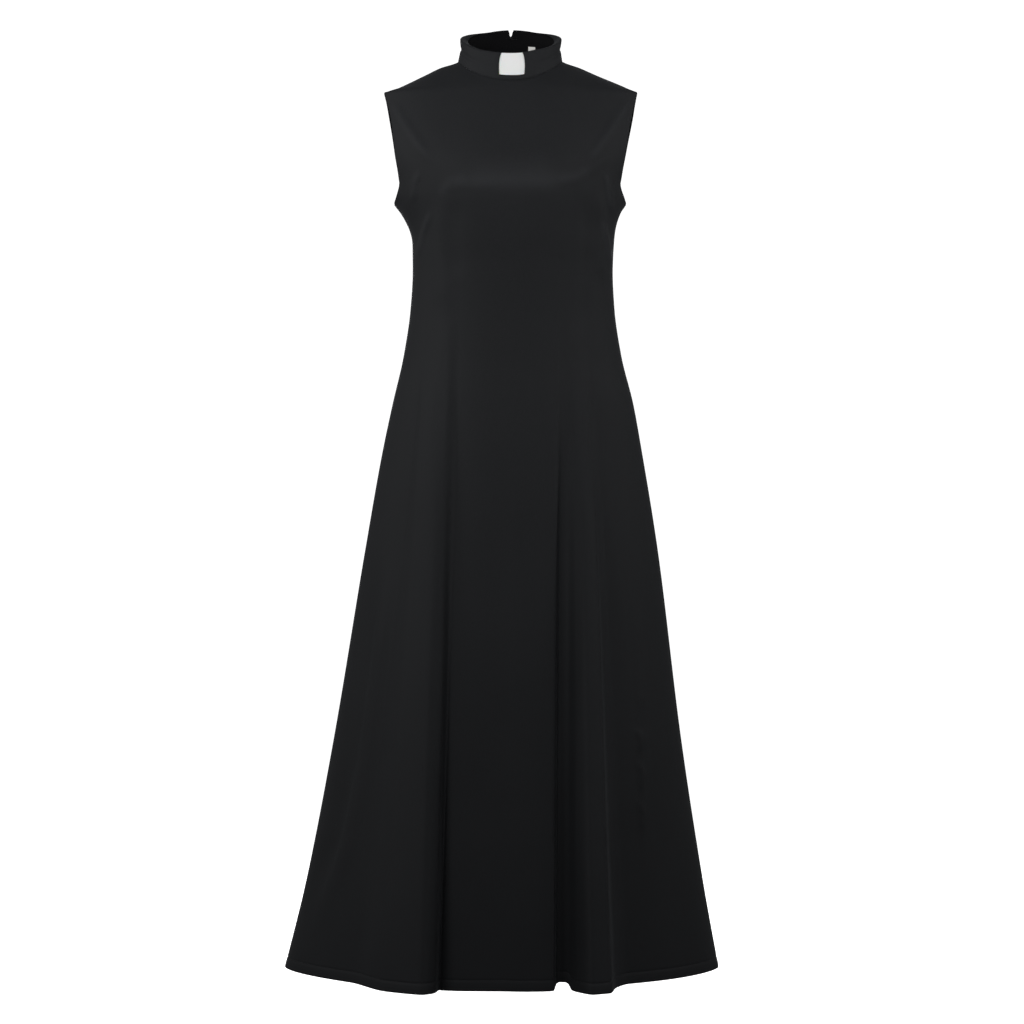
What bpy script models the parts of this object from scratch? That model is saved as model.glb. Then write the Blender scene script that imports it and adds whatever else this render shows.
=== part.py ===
"""A sleeveless, floor-length clergy dress, filled out as it is when worn, as its sewn pieces.

Metres, +Z up. The front faces -Y, and +X is the wearer's left. The origin is in the middle
of the neck, level with the tops of the shoulder seams, where the wearer's shoulders carry
the dress. Every cloth piece is a thin wall that follows one form: level rings from the hem
to the neck, with the folds of the flared skirt laid into them.
"""

import math

import bmesh
import bpy
import numpy as np

WALL = 0.0015  # thickness of the dress cloth
SEAM_GAP = 0.0003  # between two pieces that are sewn together
HEM_HEIGHT = -1.320
UNDERARM_HEIGHT = -0.2088
SHOULDER_TIP_HEIGHT = -0.0467

# The form without folds, as level rings: each row gives a height, the reach from the middle
# to each side, to the front and to the back, and how square the ring is (2 is an ellipse).
SECTION_COLUMNS = ("height", "right", "left", "front", "back", "front_power", "back_power")
SECTIONS = (
    (-1.3200, 0.3317, 0.3016, 0.2280, 0.1500, 1.60, 1.90),  # hem
    (-1.2000, 0.3019, 0.2800, 0.2120, 0.1480, 1.62, 1.95),
    (-0.9900, 0.2609, 0.2475, 0.1850, 0.1420, 1.68, 2.00),
    (-0.7096, 0.2140, 0.2126, 0.1520, 0.1320, 1.80, 2.05),
    (-0.5694, 0.1892, 0.1899, 0.1370, 0.1260, 1.90, 2.10),
    (-0.4993, 0.1743, 0.1770, 0.1290, 0.1220, 2.00, 2.15),  # hips
    (-0.4292, 0.1581, 0.1596, 0.1225, 0.1120, 2.10, 2.20),
    (-0.3592, 0.1480, 0.1495, 0.1195, 0.0960, 2.20, 2.20),
    (-0.3066, 0.1450, 0.1470, 0.1190, 0.0900, 2.25, 2.20),  # waist
    (-0.2657, 0.1454, 0.1488, 0.1215, 0.0970, 2.28, 2.25),
    (-0.2424, 0.1508, 0.1511, 0.1240, 0.1020, 2.18, 2.25),
    (-0.2190, 0.1632, 0.1588, 0.1268, 0.1060, 2.06, 2.25),
    (-0.2088, 0.1723, 0.1669, 0.1278, 0.1075, 2.03, 2.25),  # underarm
    (-0.1870, 0.1705, 0.1640, 0.1280, 0.1100, 2.06, 2.25),  # fullest part of the chest
    (-0.1650, 0.1760, 0.1700, 0.1240, 0.1110, 2.13, 2.25),
    (-0.1256, 0.1850, 0.1800, 0.1090, 0.1090, 2.20, 2.15),
    (-0.0788, 0.1870, 0.1840, 0.0890, 0.1010, 2.00, 1.95),
    (-0.0467, 0.1868, 0.1830, 0.0745, 0.0940, 1.80, 1.75),  # shoulder tip
    (-0.0380, 0.1640, 0.1660, 0.0700, 0.0915, 1.75, 1.75),
    (-0.0204, 0.1270, 0.1265, 0.0570, 0.0845, 1.70, 1.80),
    (-0.0088, 0.1040, 0.0990, 0.0450, 0.0790, 1.70, 1.90),
    (0.0000, 0.0790, 0.0738, 0.0350, 0.0745, 1.70, 2.00),  # neck end of the shoulder seam
    (0.0090, 0.0724, 0.0678, 0.0300, 0.0690, 1.70, 2.00),
    (0.0180, 0.0645, 0.0605, 0.0200, 0.0620, 1.70, 2.00),  # back of the neck
    (0.0400, 0.0300, 0.0300, 0.0100, 0.0300, 1.70, 2.00),
)

# The bust fullness that the darts give: a soft rise on each side of the front.
BUST_ACROSS, BUST_HEIGHT = 0.082, -0.192
BUST_WIDE, BUST_TALL, BUST_OUT = 0.052, 0.060, 0.005

# The folds, as lines that run down the cloth from where its flare opens. Each row gives the
# line's name, its distance from the middle where it starts and at the hem, the height where
# its fold starts to open, how far in front of the side seams (or behind them) it stands at
# the hem, and the number of columns of cloth between this line and the next.
SIDE = 1.0  # further out than any ring, so that the line runs along the side seam
FRONT_FOLDS = (
    ("right side seam", -SIDE, -SIDE, -0.40, 0.0000, 3),
    ("right outer crease", -0.1360, -0.2285, -0.50, 0.1570, 3),
    ("right ridge's outer side", -0.1240, -0.1744, -0.42, 0.2400, 2),
    ("right ridge", -0.1080, -0.1290, -0.36, 0.2682, 2),
    ("right ridge's inner side", -0.0920, -0.1060, -0.29, 0.2550, 2),
    ("right valley", -0.0720, -0.0985, -0.29, 0.2270, 1),
    ("right edge of middle", -0.0675, -0.0945, -0.29, 0.2310, 3),
    ("middle", -0.0060, -0.0140, -0.45, 0.2400, 4),
    ("left edge of middle", 0.0655, 0.0575, -0.34, 0.2370, 1),
    ("left valley", 0.0700, 0.0620, -0.31, 0.2170, 1),
    ("left valley's outer side", 0.0780, 0.0755, -0.34, 0.2190, 2),
    ("left ridge's inner side", 0.0900, 0.0905, -0.38, 0.2460, 2),
    ("left ridge", 0.1040, 0.1139, -0.42, 0.2682, 2),
    ("left ridge's outer side", 0.1130, 0.1365, -0.50, 0.2570, 1),
    ("left foot of ridge", 0.1170, 0.1432, -0.50, 0.2070, 3),
    ("left crease", 0.1220, 0.1640, -0.50, 0.1710, 3),
    ("left outer ridge", 0.1360, 0.2260, -0.60, 0.1270, 3),
    ("left side seam", SIDE, SIDE, -0.40, 0.0000, 0),
)
BACK_FOLDS = (
    ("right side seam", -SIDE, -SIDE, -0.40, 0.0000, 4),
    ("right outer ridge", -0.1360, -0.2220, -0.58, 0.1180, 5),
    ("right outer valley", -0.1130, -0.1660, -0.50, 0.1000, 4),
    ("right ridge", -0.0790, -0.1120, -0.46, 0.1720, 3),
    ("right inner valley", -0.0400, -0.0520, -0.52, 0.1280, 3),
    ("centre back", 0.0000, 0.0000, -0.60, 0.1540, 3),
    ("left inner valley", 0.0400, 0.0580, -0.50, 0.1220, 3),
    ("left ridge", 0.0780, 0.1160, -0.46, 0.1760, 4),
    ("left outer valley", 0.1130, 0.1700, -0.52, 0.1050, 5),
    ("left outer ridge", 0.1360, 0.2220, -0.60, 0.1130, 4),
    ("left side seam", SIDE, SIDE, -0.40, 0.0000, 0),
)
SOFT_START = 0.25  # share of a fold's length over which it opens more slowly
SHOULDER_COLUMNS = 10  # columns of cloth along each shoulder seam

# Heights of the level rows of the panels: from, to, and how many rows.
ROW_BANDS = (
    (HEM_HEIGHT, -0.540, 11),
    (-0.540, -0.2657, 6),
    (-0.2657, UNDERARM_HEIGHT, 3),
)
YOKE_ROWS, YOKE_ROW_EASE = 12, 0.7  # rows from the underarm up, closer together at both ends
RING_STEPS = 24  # steps between two fold lines, from which a ring's columns are placed
SEAM_STEPS = 200  # steps along a shoulder seam, for the same

# Armholes, seen from the side: how far each edge is scooped from the side line, how low the
# scoop is widest (1 is halfway up, less is lower) and how round its ends are (1 is pointed).
FRONT_SCOOP, BACK_SCOOP, SCOOP_LOW, SCOOP_ROUND = 0.0500, 0.0440, 0.68, 0.70

# The neckline, seen from above.
NECK_RIGHT, NECK_LEFT, NECK_FRONT, NECK_BACK = 0.0790, 0.0738, 0.0680, 0.0620
NECK_STEPS = 144

# The stand collar: its top edge lies in a plane that drops towards the front, and its wall
# is an outer and an inner layer, which part where the tab or the zip tape lies between them.
COLLAR_RIGHT, COLLAR_LEFT, COLLAR_FRONT, COLLAR_BACK = 0.0770, 0.0728, 0.0665, 0.0500
COLLAR_TOP_HEIGHT, COLLAR_TOP_SLOPE, COLLAR_TOP_BEND = 0.0355, 0.42, 0.85
COLLAR_WAIST = 0.0024  # how far its sides are drawn in halfway up
COLLAR_ROLL, COLLAR_ROLL_START = 0.0055, 0.72  # its sides roll in towards the top edge
COLLAR_COLUMNS = 36
COLLAR_LAYER = 0.0011
COLLAR_EDGE, LINING_EDGE = 0.0009, 0.0006  # how far the top edges are rounded off
COLLAR_EDGE_TALL = 0.0014
COLLAR_ROWS = (0.20, 0.40, 0.60, 0.80)  # shares of the height, between the two edges
NEARBY = 0.001  # step to the points that the collar's facing is found from
TAB_THICK = 0.0008
CLEARANCE = 0.0003
PARTED = COLLAR_LAYER + CLEARANCE + TAB_THICK + CLEARANCE  # the inner layer's outer face
TOGETHER = COLLAR_LAYER + SEAM_GAP
COLLAR_WALL = PARTED + COLLAR_LAYER
# Centre back opening of the collar: half its gap, at heights below the collar's top edge.
NOTCH_COLUMNS = ("below_top", "half_gap")
NOTCH = (
    (0.0000, 0.0044),
    (0.0040, 0.0028),
    (0.0090, 0.0014),
    (0.0135, 0.0007),
    (0.0290, 0.0005),
    (0.0310, SEAM_GAP / 2),
    (0.0600, SEAM_GAP / 2),
)

# The white tab in its channel, and the window in the outer layer that shows it, which is
# open at the top and swells like a barrel.
TAB_BELOW_TOP, TAB_ABOVE_SEAM = 0.0004, 0.0027
TAB_PAST_WINDOW, CHANNEL_PAST_WINDOW = 2, 3  # collar columns, past each side of the window
WINDOW_TOP, WINDOW_MIDDLE, WINDOW_SILL = 0.0159, 0.0187, 0.0172  # half widths
WINDOW_SILL_TALL = 0.0030
WINDOW_COLUMNS = 6
BESIDE_WINDOW = (COLLAR_COLUMNS - WINDOW_COLUMNS) // 2  # collar columns on each side of it

# The centre back zip: its tape inside the back, and its closed slider below the collar.
ZIP_BOTTOM, ZIP_HALF_WIDTH, ZIP_COLUMNS = -0.560, 0.0110, 4
TAPE_THICK, TAPE_CLEARANCE = 0.0008, 0.0005
SLIDER_STRETCHES = 2  # rows of the panel below the collar, that the slider lies on
SLIDER_PLACE = 0.62  # how far up them it is
SLIDER_WIDE, SLIDER_LONG, SLIDER_THICK = 0.0054, 0.0092, 0.0020
SLIDER_CUT = 0.0006  # how far its edges are cut off
BRIDGE_WIDE, BRIDGE_LONG, BRIDGE_THICK, BRIDGE_STAND = 0.0016, 0.0048, 0.0008, 0.0020
BRIDGE_ROOT = 0.0003
PULL_AXIS_STAND = 0.0010  # the crossbar's middle above the slider
PULL_LONG, PULL_WIDE, PULL_THICK = 0.0215, 0.0062, 0.0010
PULL_BAR, PULL_SLOT_LONG, PULL_SLOT_WIDE = 0.0010, 0.0052, 0.0028
PULL_TAPER, PULL_SQUARE, SLOT_SQUARE = 0.12, 0.6, 0.4  # an ellipse has a squareness of 1
PULL_POINTS = 24

# Hook and eye at the foot of the notch, on the collar's inside.
WIRE = 0.0008
HOOK_BELOW_TOP = 0.0112
FASTENER_ROOM = 0.0011  # from the middle of one wire to the next where they pass
EYE_BAR_ACROSS, EYE_END_ACROSS, EYE_HALF_TALL, EYE_CORNER = -0.0007, 0.0080, 0.0017, 0.0006
HOOK_BEND_ACROSS, HOOK_TIP_ACROSS, HOOK_END_ACROSS = 0.0006, -0.0040, -0.0085
HOOK_BEND_STEPS = 6

# Size label, sewn inside the back of the collar, beside the zip.
LABEL_ACROSS, LABEL_HALF_WIDE, LABEL_THICK = 0.0300, 0.0065, 0.0005
LABEL_LOW_SHARE, LABEL_HIGH_SHARE = 0.10, 0.42

MATERIALS = {
    "black_jersey": ((0.0168, 0.0178, 0.0195), 0.78, 0.0),
    "white_tab": ((0.80, 0.80, 0.80), 0.45, 0.0),
    "black_tape": ((0.010, 0.010, 0.011), 0.80, 0.0),
    "black_enamel": ((0.012, 0.012, 0.013), 0.35, 0.6),
    "label_satin": ((0.78, 0.78, 0.76), 0.50, 0.0),
}


def smooth_through(places, values):
    """A function that runs smoothly through a table's values and never past them."""
    places, values = np.asarray(places, float), np.asarray(values, float)
    gaps = np.diff(places)
    slopes = np.diff(values) / gaps
    tangents = np.zeros(len(values))
    tangents[0], tangents[-1] = slopes[0], slopes[-1]
    for i in range(1, len(values) - 1):
        before, after = slopes[i - 1], slopes[i]
        if before * after > 0:
            a = 2 * gaps[i] + gaps[i - 1]
            b = gaps[i] + 2 * gaps[i - 1]
            tangents[i] = (a + b) / (a / before + b / after)

    def at(place):
        place = np.clip(place, places[0], places[-1])
        i = np.clip(np.searchsorted(places, place) - 1, 0, len(gaps) - 1)
        t = (place - places[i]) / gaps[i]
        return (
            (1 + 2 * t) * (1 - t) ** 2 * values[i]
            + t * (1 - t) ** 2 * gaps[i] * tangents[i]
            + t * t * (3 - 2 * t) * values[i + 1]
            + t * t * (t - 1) * gaps[i] * tangents[i + 1]
        )

    return at


def table_functions(columns, rows):
    """One smooth function of the first column for each other column of a table."""
    data = np.array(rows, float)
    return {
        name: smooth_through(data[:, 0], data[:, i])
        for i, name in enumerate(columns)
        if i
    }


FORM = table_functions(SECTION_COLUMNS, SECTIONS)
NOTCH_HALF_GAP = table_functions(NOTCH_COLUMNS, NOTCH)["half_gap"]


def ring_sizes(height, side, across):
    """Reach to this side, reach to the front or back, and the ring's power, at a height."""
    reach = np.where(across < 0, FORM["right"](height), FORM["left"](height))
    return reach, FORM[side](height), FORM[side + "_power"](height)


def form_point(turn, height, side):
    """A point of the form: turn runs from 0 at the right side seam to 1 at the left one."""
    angle = math.pi * np.asarray(turn, float)
    across = -np.cos(angle)
    reach, depth, power = ring_sizes(height, side, across)
    x = np.sign(across) * reach * np.abs(across) ** (2 / power)
    y = depth * np.abs(np.sin(angle)) ** (2 / power)
    z = np.broadcast_to(height, x.shape)
    if side == "front":
        bust = np.exp(
            -(((np.abs(x) - BUST_ACROSS) / BUST_WIDE) ** 2) - ((z - BUST_HEIGHT) / BUST_TALL) ** 2
        )
        return np.stack([x, -(y + BUST_OUT * bust * y / depth), z], -1)
    return np.stack([x, y, z], -1)


def turn_of_across(across, height, side):
    """The turn at which the ring is this far from the middle."""
    reach, _, power = ring_sizes(height, side, np.asarray(across, float))
    share = np.clip(np.abs(across) / reach, 0, 1) ** (power / 2)
    return np.arccos(-np.sign(across) * share) / math.pi


def turn_of_depth(depth, height, side, across_sign):
    """The turn at which the ring is this far in front of or behind the side seams."""
    _, full, power = ring_sizes(height, side, across_sign)
    turn = np.arcsin(np.clip(depth / full, 0, 1) ** (power / 2)) / math.pi
    return np.where(across_sign < 0, turn, 1 - turn)


def height_on_form(x, y):
    """The height at which the form passes through a point seen from above, near the neck."""
    side = "front" if y < 0 else "back"
    low, high = UNDERARM_HEIGHT, SECTIONS[-1][0]
    for _ in range(50):
        middle = (low + high) / 2
        reach, depth, power = ring_sizes(middle, side, x)
        inside = (abs(x) / reach) ** power + (abs(y) / depth) ** power < 1
        low, high = (middle, high) if inside else (low, middle)
    return (low + high) / 2


def opening_share(start, height):
    """How far a fold has opened at a height: 0 at its start, softly at first, and 1 at the hem."""
    share = np.clip((start - height) / (start - HEM_HEIGHT), 0, 1)
    return share * (1 - (1 - np.minimum(share / SOFT_START, 1)) ** 2 / 2)


def even_along(points, count):
    """Count + 1 places, as fractional indices, evenly spaced along a line of points."""
    lengths = np.linalg.norm(np.diff(points, axis=0), axis=1)
    along = np.concatenate([[0], np.cumsum(lengths)])
    return np.interp(np.linspace(0, along[-1], count + 1), along, np.arange(len(points)))


def folded_ring(height, side, folds):
    """The points of a panel's columns at a height, on the form with its folds."""
    facing = -1 if side == "front" else 1
    turns, offsets, columns = [], [], []
    for _, across_top, across_hem, start, depth_hem, count in folds:
        down = np.clip((start - height) / (start - HEM_HEIGHT), 0, 1)
        across = across_top + (across_hem - across_top) * down
        turns.append(float(turn_of_across(across, height, side)))
        at_hem = form_point(turn_of_across(across_hem, HEM_HEIGHT, side), HEM_HEIGHT, side)
        offsets.append((facing * depth_hem - at_hem[1]) * opening_share(start, height))
        columns.append(count)
    points = []
    for i in range(len(turns) - 1):
        share = np.linspace(0, 1, RING_STEPS + 1)
        turn = turns[i] + (turns[i + 1] - turns[i]) * share
        stretch = form_point(turn, height, side)
        eased = share * share * (3 - 2 * share)
        stretch[:, 1] += offsets[i] + (offsets[i + 1] - offsets[i]) * eased
        at = even_along(stretch, columns[i])[1 if i else 0 :]
        index = np.arange(RING_STEPS + 1)
        points.append(np.stack([np.interp(at, index, stretch[:, k]) for k in range(3)], -1))
    return np.concatenate(points)


def armhole_across(share, height, side, across_sign):
    """How far across the armhole's edge is: share runs from the underarm to the shoulder tip."""
    scoop = FRONT_SCOOP if side == "front" else BACK_SCOOP
    depth = scoop * max(math.sin(math.pi * share**SCOOP_LOW), 0) ** SCOOP_ROUND
    return form_point(turn_of_depth(depth, height, side, across_sign), height, side)[0]


def shoulder_seam(across_sign):
    """Points (across, height) along a shoulder seam, evenly spaced from its tip to the neck."""
    heights = np.linspace(SHOULDER_TIP_HEIGHT, 0, SEAM_STEPS)
    across = across_sign * ring_sizes(heights, "front", across_sign)[0]
    at = even_along(np.stack([across, heights], -1), SHOULDER_COLUMNS)
    index = np.arange(SEAM_STEPS)
    return list(zip(np.interp(at, index, across), np.interp(at, index, heights)))


def neckline_from_above(angle):
    """Where the neckline is, seen from above: the angle is 0 at the left, then the back."""
    x = math.cos(angle) * (NECK_LEFT if math.cos(angle) > 0 else NECK_RIGHT)
    y = math.sin(angle) * (NECK_BACK if math.sin(angle) > 0 else NECK_FRONT)
    return x, y


NECK_ANGLES = np.linspace(0, 2 * math.pi, NECK_STEPS + 1)
NECK_HEIGHTS = np.array([height_on_form(*neckline_from_above(angle)) for angle in NECK_ANGLES])


def neckline_point(angle):
    height = float(np.interp(angle % (2 * math.pi), NECK_ANGLES, NECK_HEIGHTS))
    return *neckline_from_above(angle), height


def neckline_points(side, columns):
    """Points (across, height) of the neckline on the front or back, from right to left."""
    way = 1 if side == "front" else -1
    points = [neckline_point(math.pi + way * math.pi * i / columns) for i in range(columns + 1)]
    return [(x, height) for x, _, height in points]


def yoke_rows(side, below):
    """The rows above the underarm, blended between the ring below, armholes, shoulders and neck.

    They are blended as seen from the front, and then laid on the form.
    """
    top = shoulder_seam(-1)[:-1]
    top += neckline_points(side, len(below) - 1 - 2 * SHOULDER_COLUMNS)
    top += shoulder_seam(1)[::-1][1:]
    top_across, top_height = np.array(top).T
    place = np.linspace(-1, 1, len(below))
    rows = []
    even = np.linspace(0, 1, YOKE_ROWS + 1)[1:]
    for share in even + YOKE_ROW_EASE * ((1 - np.cos(math.pi * even)) / 2 - even):
        across = below[:, 0] * (1 - share) + top_across * share
        height = UNDERARM_HEIGHT * (1 - share) + top_height * share
        for sign, index in ((-1, 0), (1, -1)):
            edge = armhole_across(share, height[index], side, sign)
            across = across + np.clip(sign * place, 0, 1) ** 2 * (edge - across[index])
        rows.append(form_point(turn_of_across(across, height, side), height, side))
    return rows


def row_heights():
    heights = []
    for low, high, count in ROW_BANDS:
        heights += list(np.linspace(low, high, count + 1)[: count + (high == UNDERARM_HEIGHT)])
    return heights


def panel_grid(side, folds):
    """The outer face of the front or the whole back, as rows of points from the hem up."""
    rows = [folded_ring(height, side, folds) for height in row_heights()]
    return np.array(rows + yoke_rows(side, rows[-1]))


def facing_out(grid, side):
    """Unit vectors that face out of a grid of points."""
    along = np.gradient(grid, axis=1)
    up = np.gradient(grid, axis=0)
    outward = np.cross(along, up)
    outward /= np.linalg.norm(outward, axis=2, keepdims=True)
    return outward if side == "front" else -outward


def drawn_back_from_seams(grid, normals, side):
    """Leaves half a seam's gap along the side and shoulder seams, and squares the cloth there."""
    facing = -1 if side == "front" else 1
    below_armhole = slice(0, len(row_heights()))
    for column in (0, -1):
        normals[below_armhole, column, 1] = 0
        grid[below_armhole, column, 1] = facing * SEAM_GAP / 2
    for shoulder in (slice(0, SHOULDER_COLUMNS + 1), slice(-SHOULDER_COLUMNS - 1, None)):
        normals[-1, shoulder, 1] = 0
        grid[-1, shoulder, 1] = facing * SEAM_GAP / 2
    return grid, unit(normals)


def unit(vectors):
    return vectors / np.linalg.norm(vectors, axis=-1, keepdims=True)


def wall_between(outer, inner, kept=None):
    """Points and triangles of the closed wall between two grids, over the cells that are kept."""
    rows, columns = outer.shape[:2]
    if kept is None:
        kept = np.ones((rows - 1, columns - 1), bool)
    points = np.concatenate([outer.reshape(-1, 3), inner.reshape(-1, 3)])
    shift = rows * columns
    faces, edges = [], set()
    for r, c in zip(*np.nonzero(kept)):
        a = int(r) * columns + int(c)
        corners = (a, a + 1, a + 1 + columns, a + columns)
        faces += [(corners[0], corners[1], corners[2]), (corners[0], corners[2], corners[3])]
        edges |= {(corners[i], corners[(i + 1) % 4]) for i in range(4)}
    faces += [(a + shift, c + shift, b + shift) for a, b, c in faces]
    for a, b in sorted(edges):
        if (b, a) not in edges:
            faces += [(a, a + shift, b + shift), (a, b + shift, b)]
    used, index = np.unique(faces, return_inverse=True)
    return facing_outward(points[used], index.reshape(-1, 3))


def facing_outward(points, faces):
    """The same body, with its faces turned if they enclose a volume from the inside."""
    corners = points[faces]
    volume = np.einsum("ij,ij->i", corners[:, 0], np.cross(corners[:, 1], corners[:, 2])).sum()
    return points, faces if volume > 0 else faces[:, ::-1]


def material(name):
    found = bpy.data.materials.get(name)
    if found:
        return found
    colour, rough, metallic = MATERIALS[name]
    made = bpy.data.materials.new(name)
    made.use_nodes = True
    shader = made.node_tree.nodes["Principled BSDF"]
    shader.inputs["Base Color"].default_value = (*colour, 1)
    shader.inputs["Roughness"].default_value = rough
    shader.inputs["Metallic"].default_value = metallic
    made.diffuse_color = (*colour, 1)
    return made


def add_object(name, points, faces, finish):
    mesh = bpy.data.meshes.new(name)
    corners = [tuple(map(float, p)) for p in points]
    mesh.from_pydata(corners, [], [tuple(map(int, f)) for f in faces])
    mesh.shade_smooth()
    mesh.set_sharp_from_angle(angle=math.radians(50))
    made = bpy.data.objects.new(name, mesh)
    made.data.materials.append(material(finish))
    bpy.context.scene.collection.objects.link(made)
    return made


def add_front():
    grid = panel_grid("front", FRONT_FOLDS)
    grid, normals = drawn_back_from_seams(grid, facing_out(grid, "front"), "front")
    add_object("front", *wall_between(grid, grid - normals * WALL), "black_jersey")


def back_face():
    """The outer face of the whole back, with the way that it faces."""
    grid = panel_grid("back", BACK_FOLDS)
    return drawn_back_from_seams(grid, facing_out(grid, "back"), "back")


def add_back_panels():
    grid, normals = back_face()
    middle = grid.shape[1] // 2
    for name, columns, edge in (
        ("back_right", slice(None, middle + 1), -1),
        ("back_left", slice(middle, None), 0),
    ):
        half, facing = grid[:, columns].copy(), normals[:, columns].copy()
        half[:, edge, 0] = SEAM_GAP / 2 if edge == 0 else -SEAM_GAP / 2
        facing[:, edge, 0] = 0
        add_object(name, *wall_between(half, half - unit(facing) * WALL), "black_jersey")


def add_zip_tape():
    """The zip's tape, along the inside of the back from below the hips to the neck seam."""
    grid, normals = back_face()
    inside = grid - normals * (WALL + TAPE_CLEARANCE)
    across = np.linspace(-ZIP_HALF_WIDTH, ZIP_HALF_WIDTH, ZIP_COLUMNS + 1)
    face = []
    for x, y, z in (row.T for row in inside):
        if z[len(z) // 2] > ZIP_BOTTOM:
            face.append(np.stack([across, np.interp(across, x, y), np.interp(across, x, z)], -1))
    face = np.array(face)
    inner = face - facing_out(face, "back") * TAPE_THICK
    add_object("zip_tape", *wall_between(face, inner), "black_tape")


def collar_point(angle, share):
    """A point of the collar's outer face, at a share of its height."""
    foot = np.array(neckline_point(angle))
    c, s = math.cos(angle), math.sin(angle)
    x = c * (COLLAR_LEFT if c > 0 else COLLAR_RIGHT)
    y = s * (COLLAR_BACK if s > 0 else COLLAR_FRONT)
    top = np.array([x, y, COLLAR_TOP_HEIGHT + COLLAR_TOP_SLOPE * y - COLLAR_TOP_BEND * y * y])
    point = foot + (top - foot) * share
    rolled = max(share - COLLAR_ROLL_START, 0) / (1 - COLLAR_ROLL_START)
    drawn_in = COLLAR_WAIST * math.sin(math.pi * share) + COLLAR_ROLL * rolled * rolled
    point[0] -= c * abs(c) * drawn_in
    return point


def collar_facing(angle, share):
    """The way the collar faces there, and its height."""
    along = collar_point(angle + NEARBY, share) - collar_point(angle - NEARBY, share)
    up = collar_point(angle, share + NEARBY) - collar_point(angle, share - NEARBY)
    facing = np.cross(along, up)
    if abs(math.cos(angle)) < NEARBY:  # centre front or centre back
        facing[0] = 0
    return unit(facing), float(np.linalg.norm(up)) / (2 * NEARBY)


def front_angle(across):
    """The angle of the collar's point in front at a distance from the middle."""
    side = COLLAR_LEFT if across > 0 else COLLAR_RIGHT
    return 1.5 * math.pi + math.asin(across / side)


def collar_angles(share):
    """Angles from centre back round to centre back, the right side first.

    A column runs up each side of the window, which swells from its sill to the middle and
    narrows again to its open top.
    """
    end = WINDOW_SILL if share < 0.5 else WINDOW_TOP
    half = end + (WINDOW_MIDDLE - end) * math.sin(math.pi * share)
    right, left = front_angle(-half), front_angle(half)
    return np.concatenate(
        [
            np.linspace(math.pi / 2, right, BESIDE_WINDOW + 1),
            np.linspace(right, left, WINDOW_COLUMNS + 1)[1:-1],
            np.linspace(left, 2.5 * math.pi, BESIDE_WINDOW + 1),
        ]
    )


def collar_face(inset_of, low=SEAM_GAP, high=0.0, rows=COLLAR_ROWS):
    """A grid of points right round the collar, inset from its outer face.

    It runs from low above the seam to high below the top edge. inset_of gives the inset of a
    column, and whether it is on the top edge.
    """
    steps = [(0.0, low), *((share, 0.0) for share in rows)]
    steps += [(1.0, -high - COLLAR_EDGE_TALL), (1.0, -high)]
    grid = []
    for i, (whole, more) in enumerate(steps):
        row = []
        for column, angle in enumerate(collar_angles(whole)):
            share = whole + more / collar_facing(angle, 0.5)[1]
            facing = collar_facing(angle, share)[0]
            inset = inset_of(column, i == len(steps) - 1)
            row.append(collar_point(angle, share) - facing * inset)
        grid.append(row)
    return np.array(grid)


def open_at_back(grid):
    """Moves the ends of each row apart, as the centre back opening does."""
    top = grid[-1, 0, 2]
    for row in grid:
        gap = float(NOTCH_HALF_GAP(top - row[0, 2]))
        row[0, 0], row[-1, 0] = -gap, gap
    return grid


def past_window(column):
    """How many columns this one lies past the window's side, or less than 0 inside it."""
    return max(BESIDE_WINDOW - column, column - BESIDE_WINDOW - WINDOW_COLUMNS)


def add_collar():
    """The outer layer, cut out at the window, and the inner layer behind the tab's channel."""
    sill = WINDOW_SILL_TALL / collar_facing(1.5 * math.pi, 0.5)[1]
    rows = (sill, *COLLAR_ROWS)
    face = open_at_back(collar_face(lambda column, top: COLLAR_EDGE if top else 0.0, rows=rows))
    back = open_at_back(collar_face(lambda column, top: COLLAR_LAYER, rows=rows))
    kept = np.ones((len(face) - 1, COLLAR_COLUMNS), bool)
    kept[1:, BESIDE_WINDOW : BESIDE_WINDOW + WINDOW_COLUMNS] = False
    add_object("collar_outer", *wall_between(face, back, kept), "black_jersey")

    def inner_face(column, top):
        return PARTED if past_window(column) <= CHANNEL_PAST_WINDOW else TOGETHER

    def lining(column, top):
        return COLLAR_WALL - (LINING_EDGE if top else 0.0)

    face, back = open_at_back(collar_face(inner_face)), open_at_back(collar_face(lining))
    add_object("collar_inner", *wall_between(face, back), "black_jersey")


def add_tab():
    """The white tab, a strip bent round the front inside the channel."""
    first = BESIDE_WINDOW - TAB_PAST_WINDOW
    columns = slice(first, COLLAR_COLUMNS - first + 1)
    face, back = (
        collar_face(lambda column, top, inset=inset: inset, TAB_ABOVE_SEAM, TAB_BELOW_TOP)[:, columns]
        for inset in (COLLAR_LAYER + CLEARANCE, COLLAR_LAYER + CLEARANCE + TAB_THICK)
    )
    add_object("tab", *wall_between(face, back), "white_tab")


def add_neck_label():
    """A small label, flat against the inside of the collar."""
    across = np.linspace(LABEL_ACROSS - LABEL_HALF_WIDE, LABEL_ACROSS + LABEL_HALF_WIDE, 3)
    angles = [math.pi / 2 - math.asin(x / COLLAR_LEFT) for x in across]
    shares = np.linspace(LABEL_LOW_SHARE, LABEL_HIGH_SHARE, 3)
    under = np.array([[collar_point(a, s) for a in angles] for s in shares])
    facing = np.array([[collar_facing(a, s)[0] for a in angles] for s in shares])
    face = under - facing * (COLLAR_WALL + CLEARANCE)
    add_object("neck_label", *wall_between(face, face - facing * LABEL_THICK), "label_satin")


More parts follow.
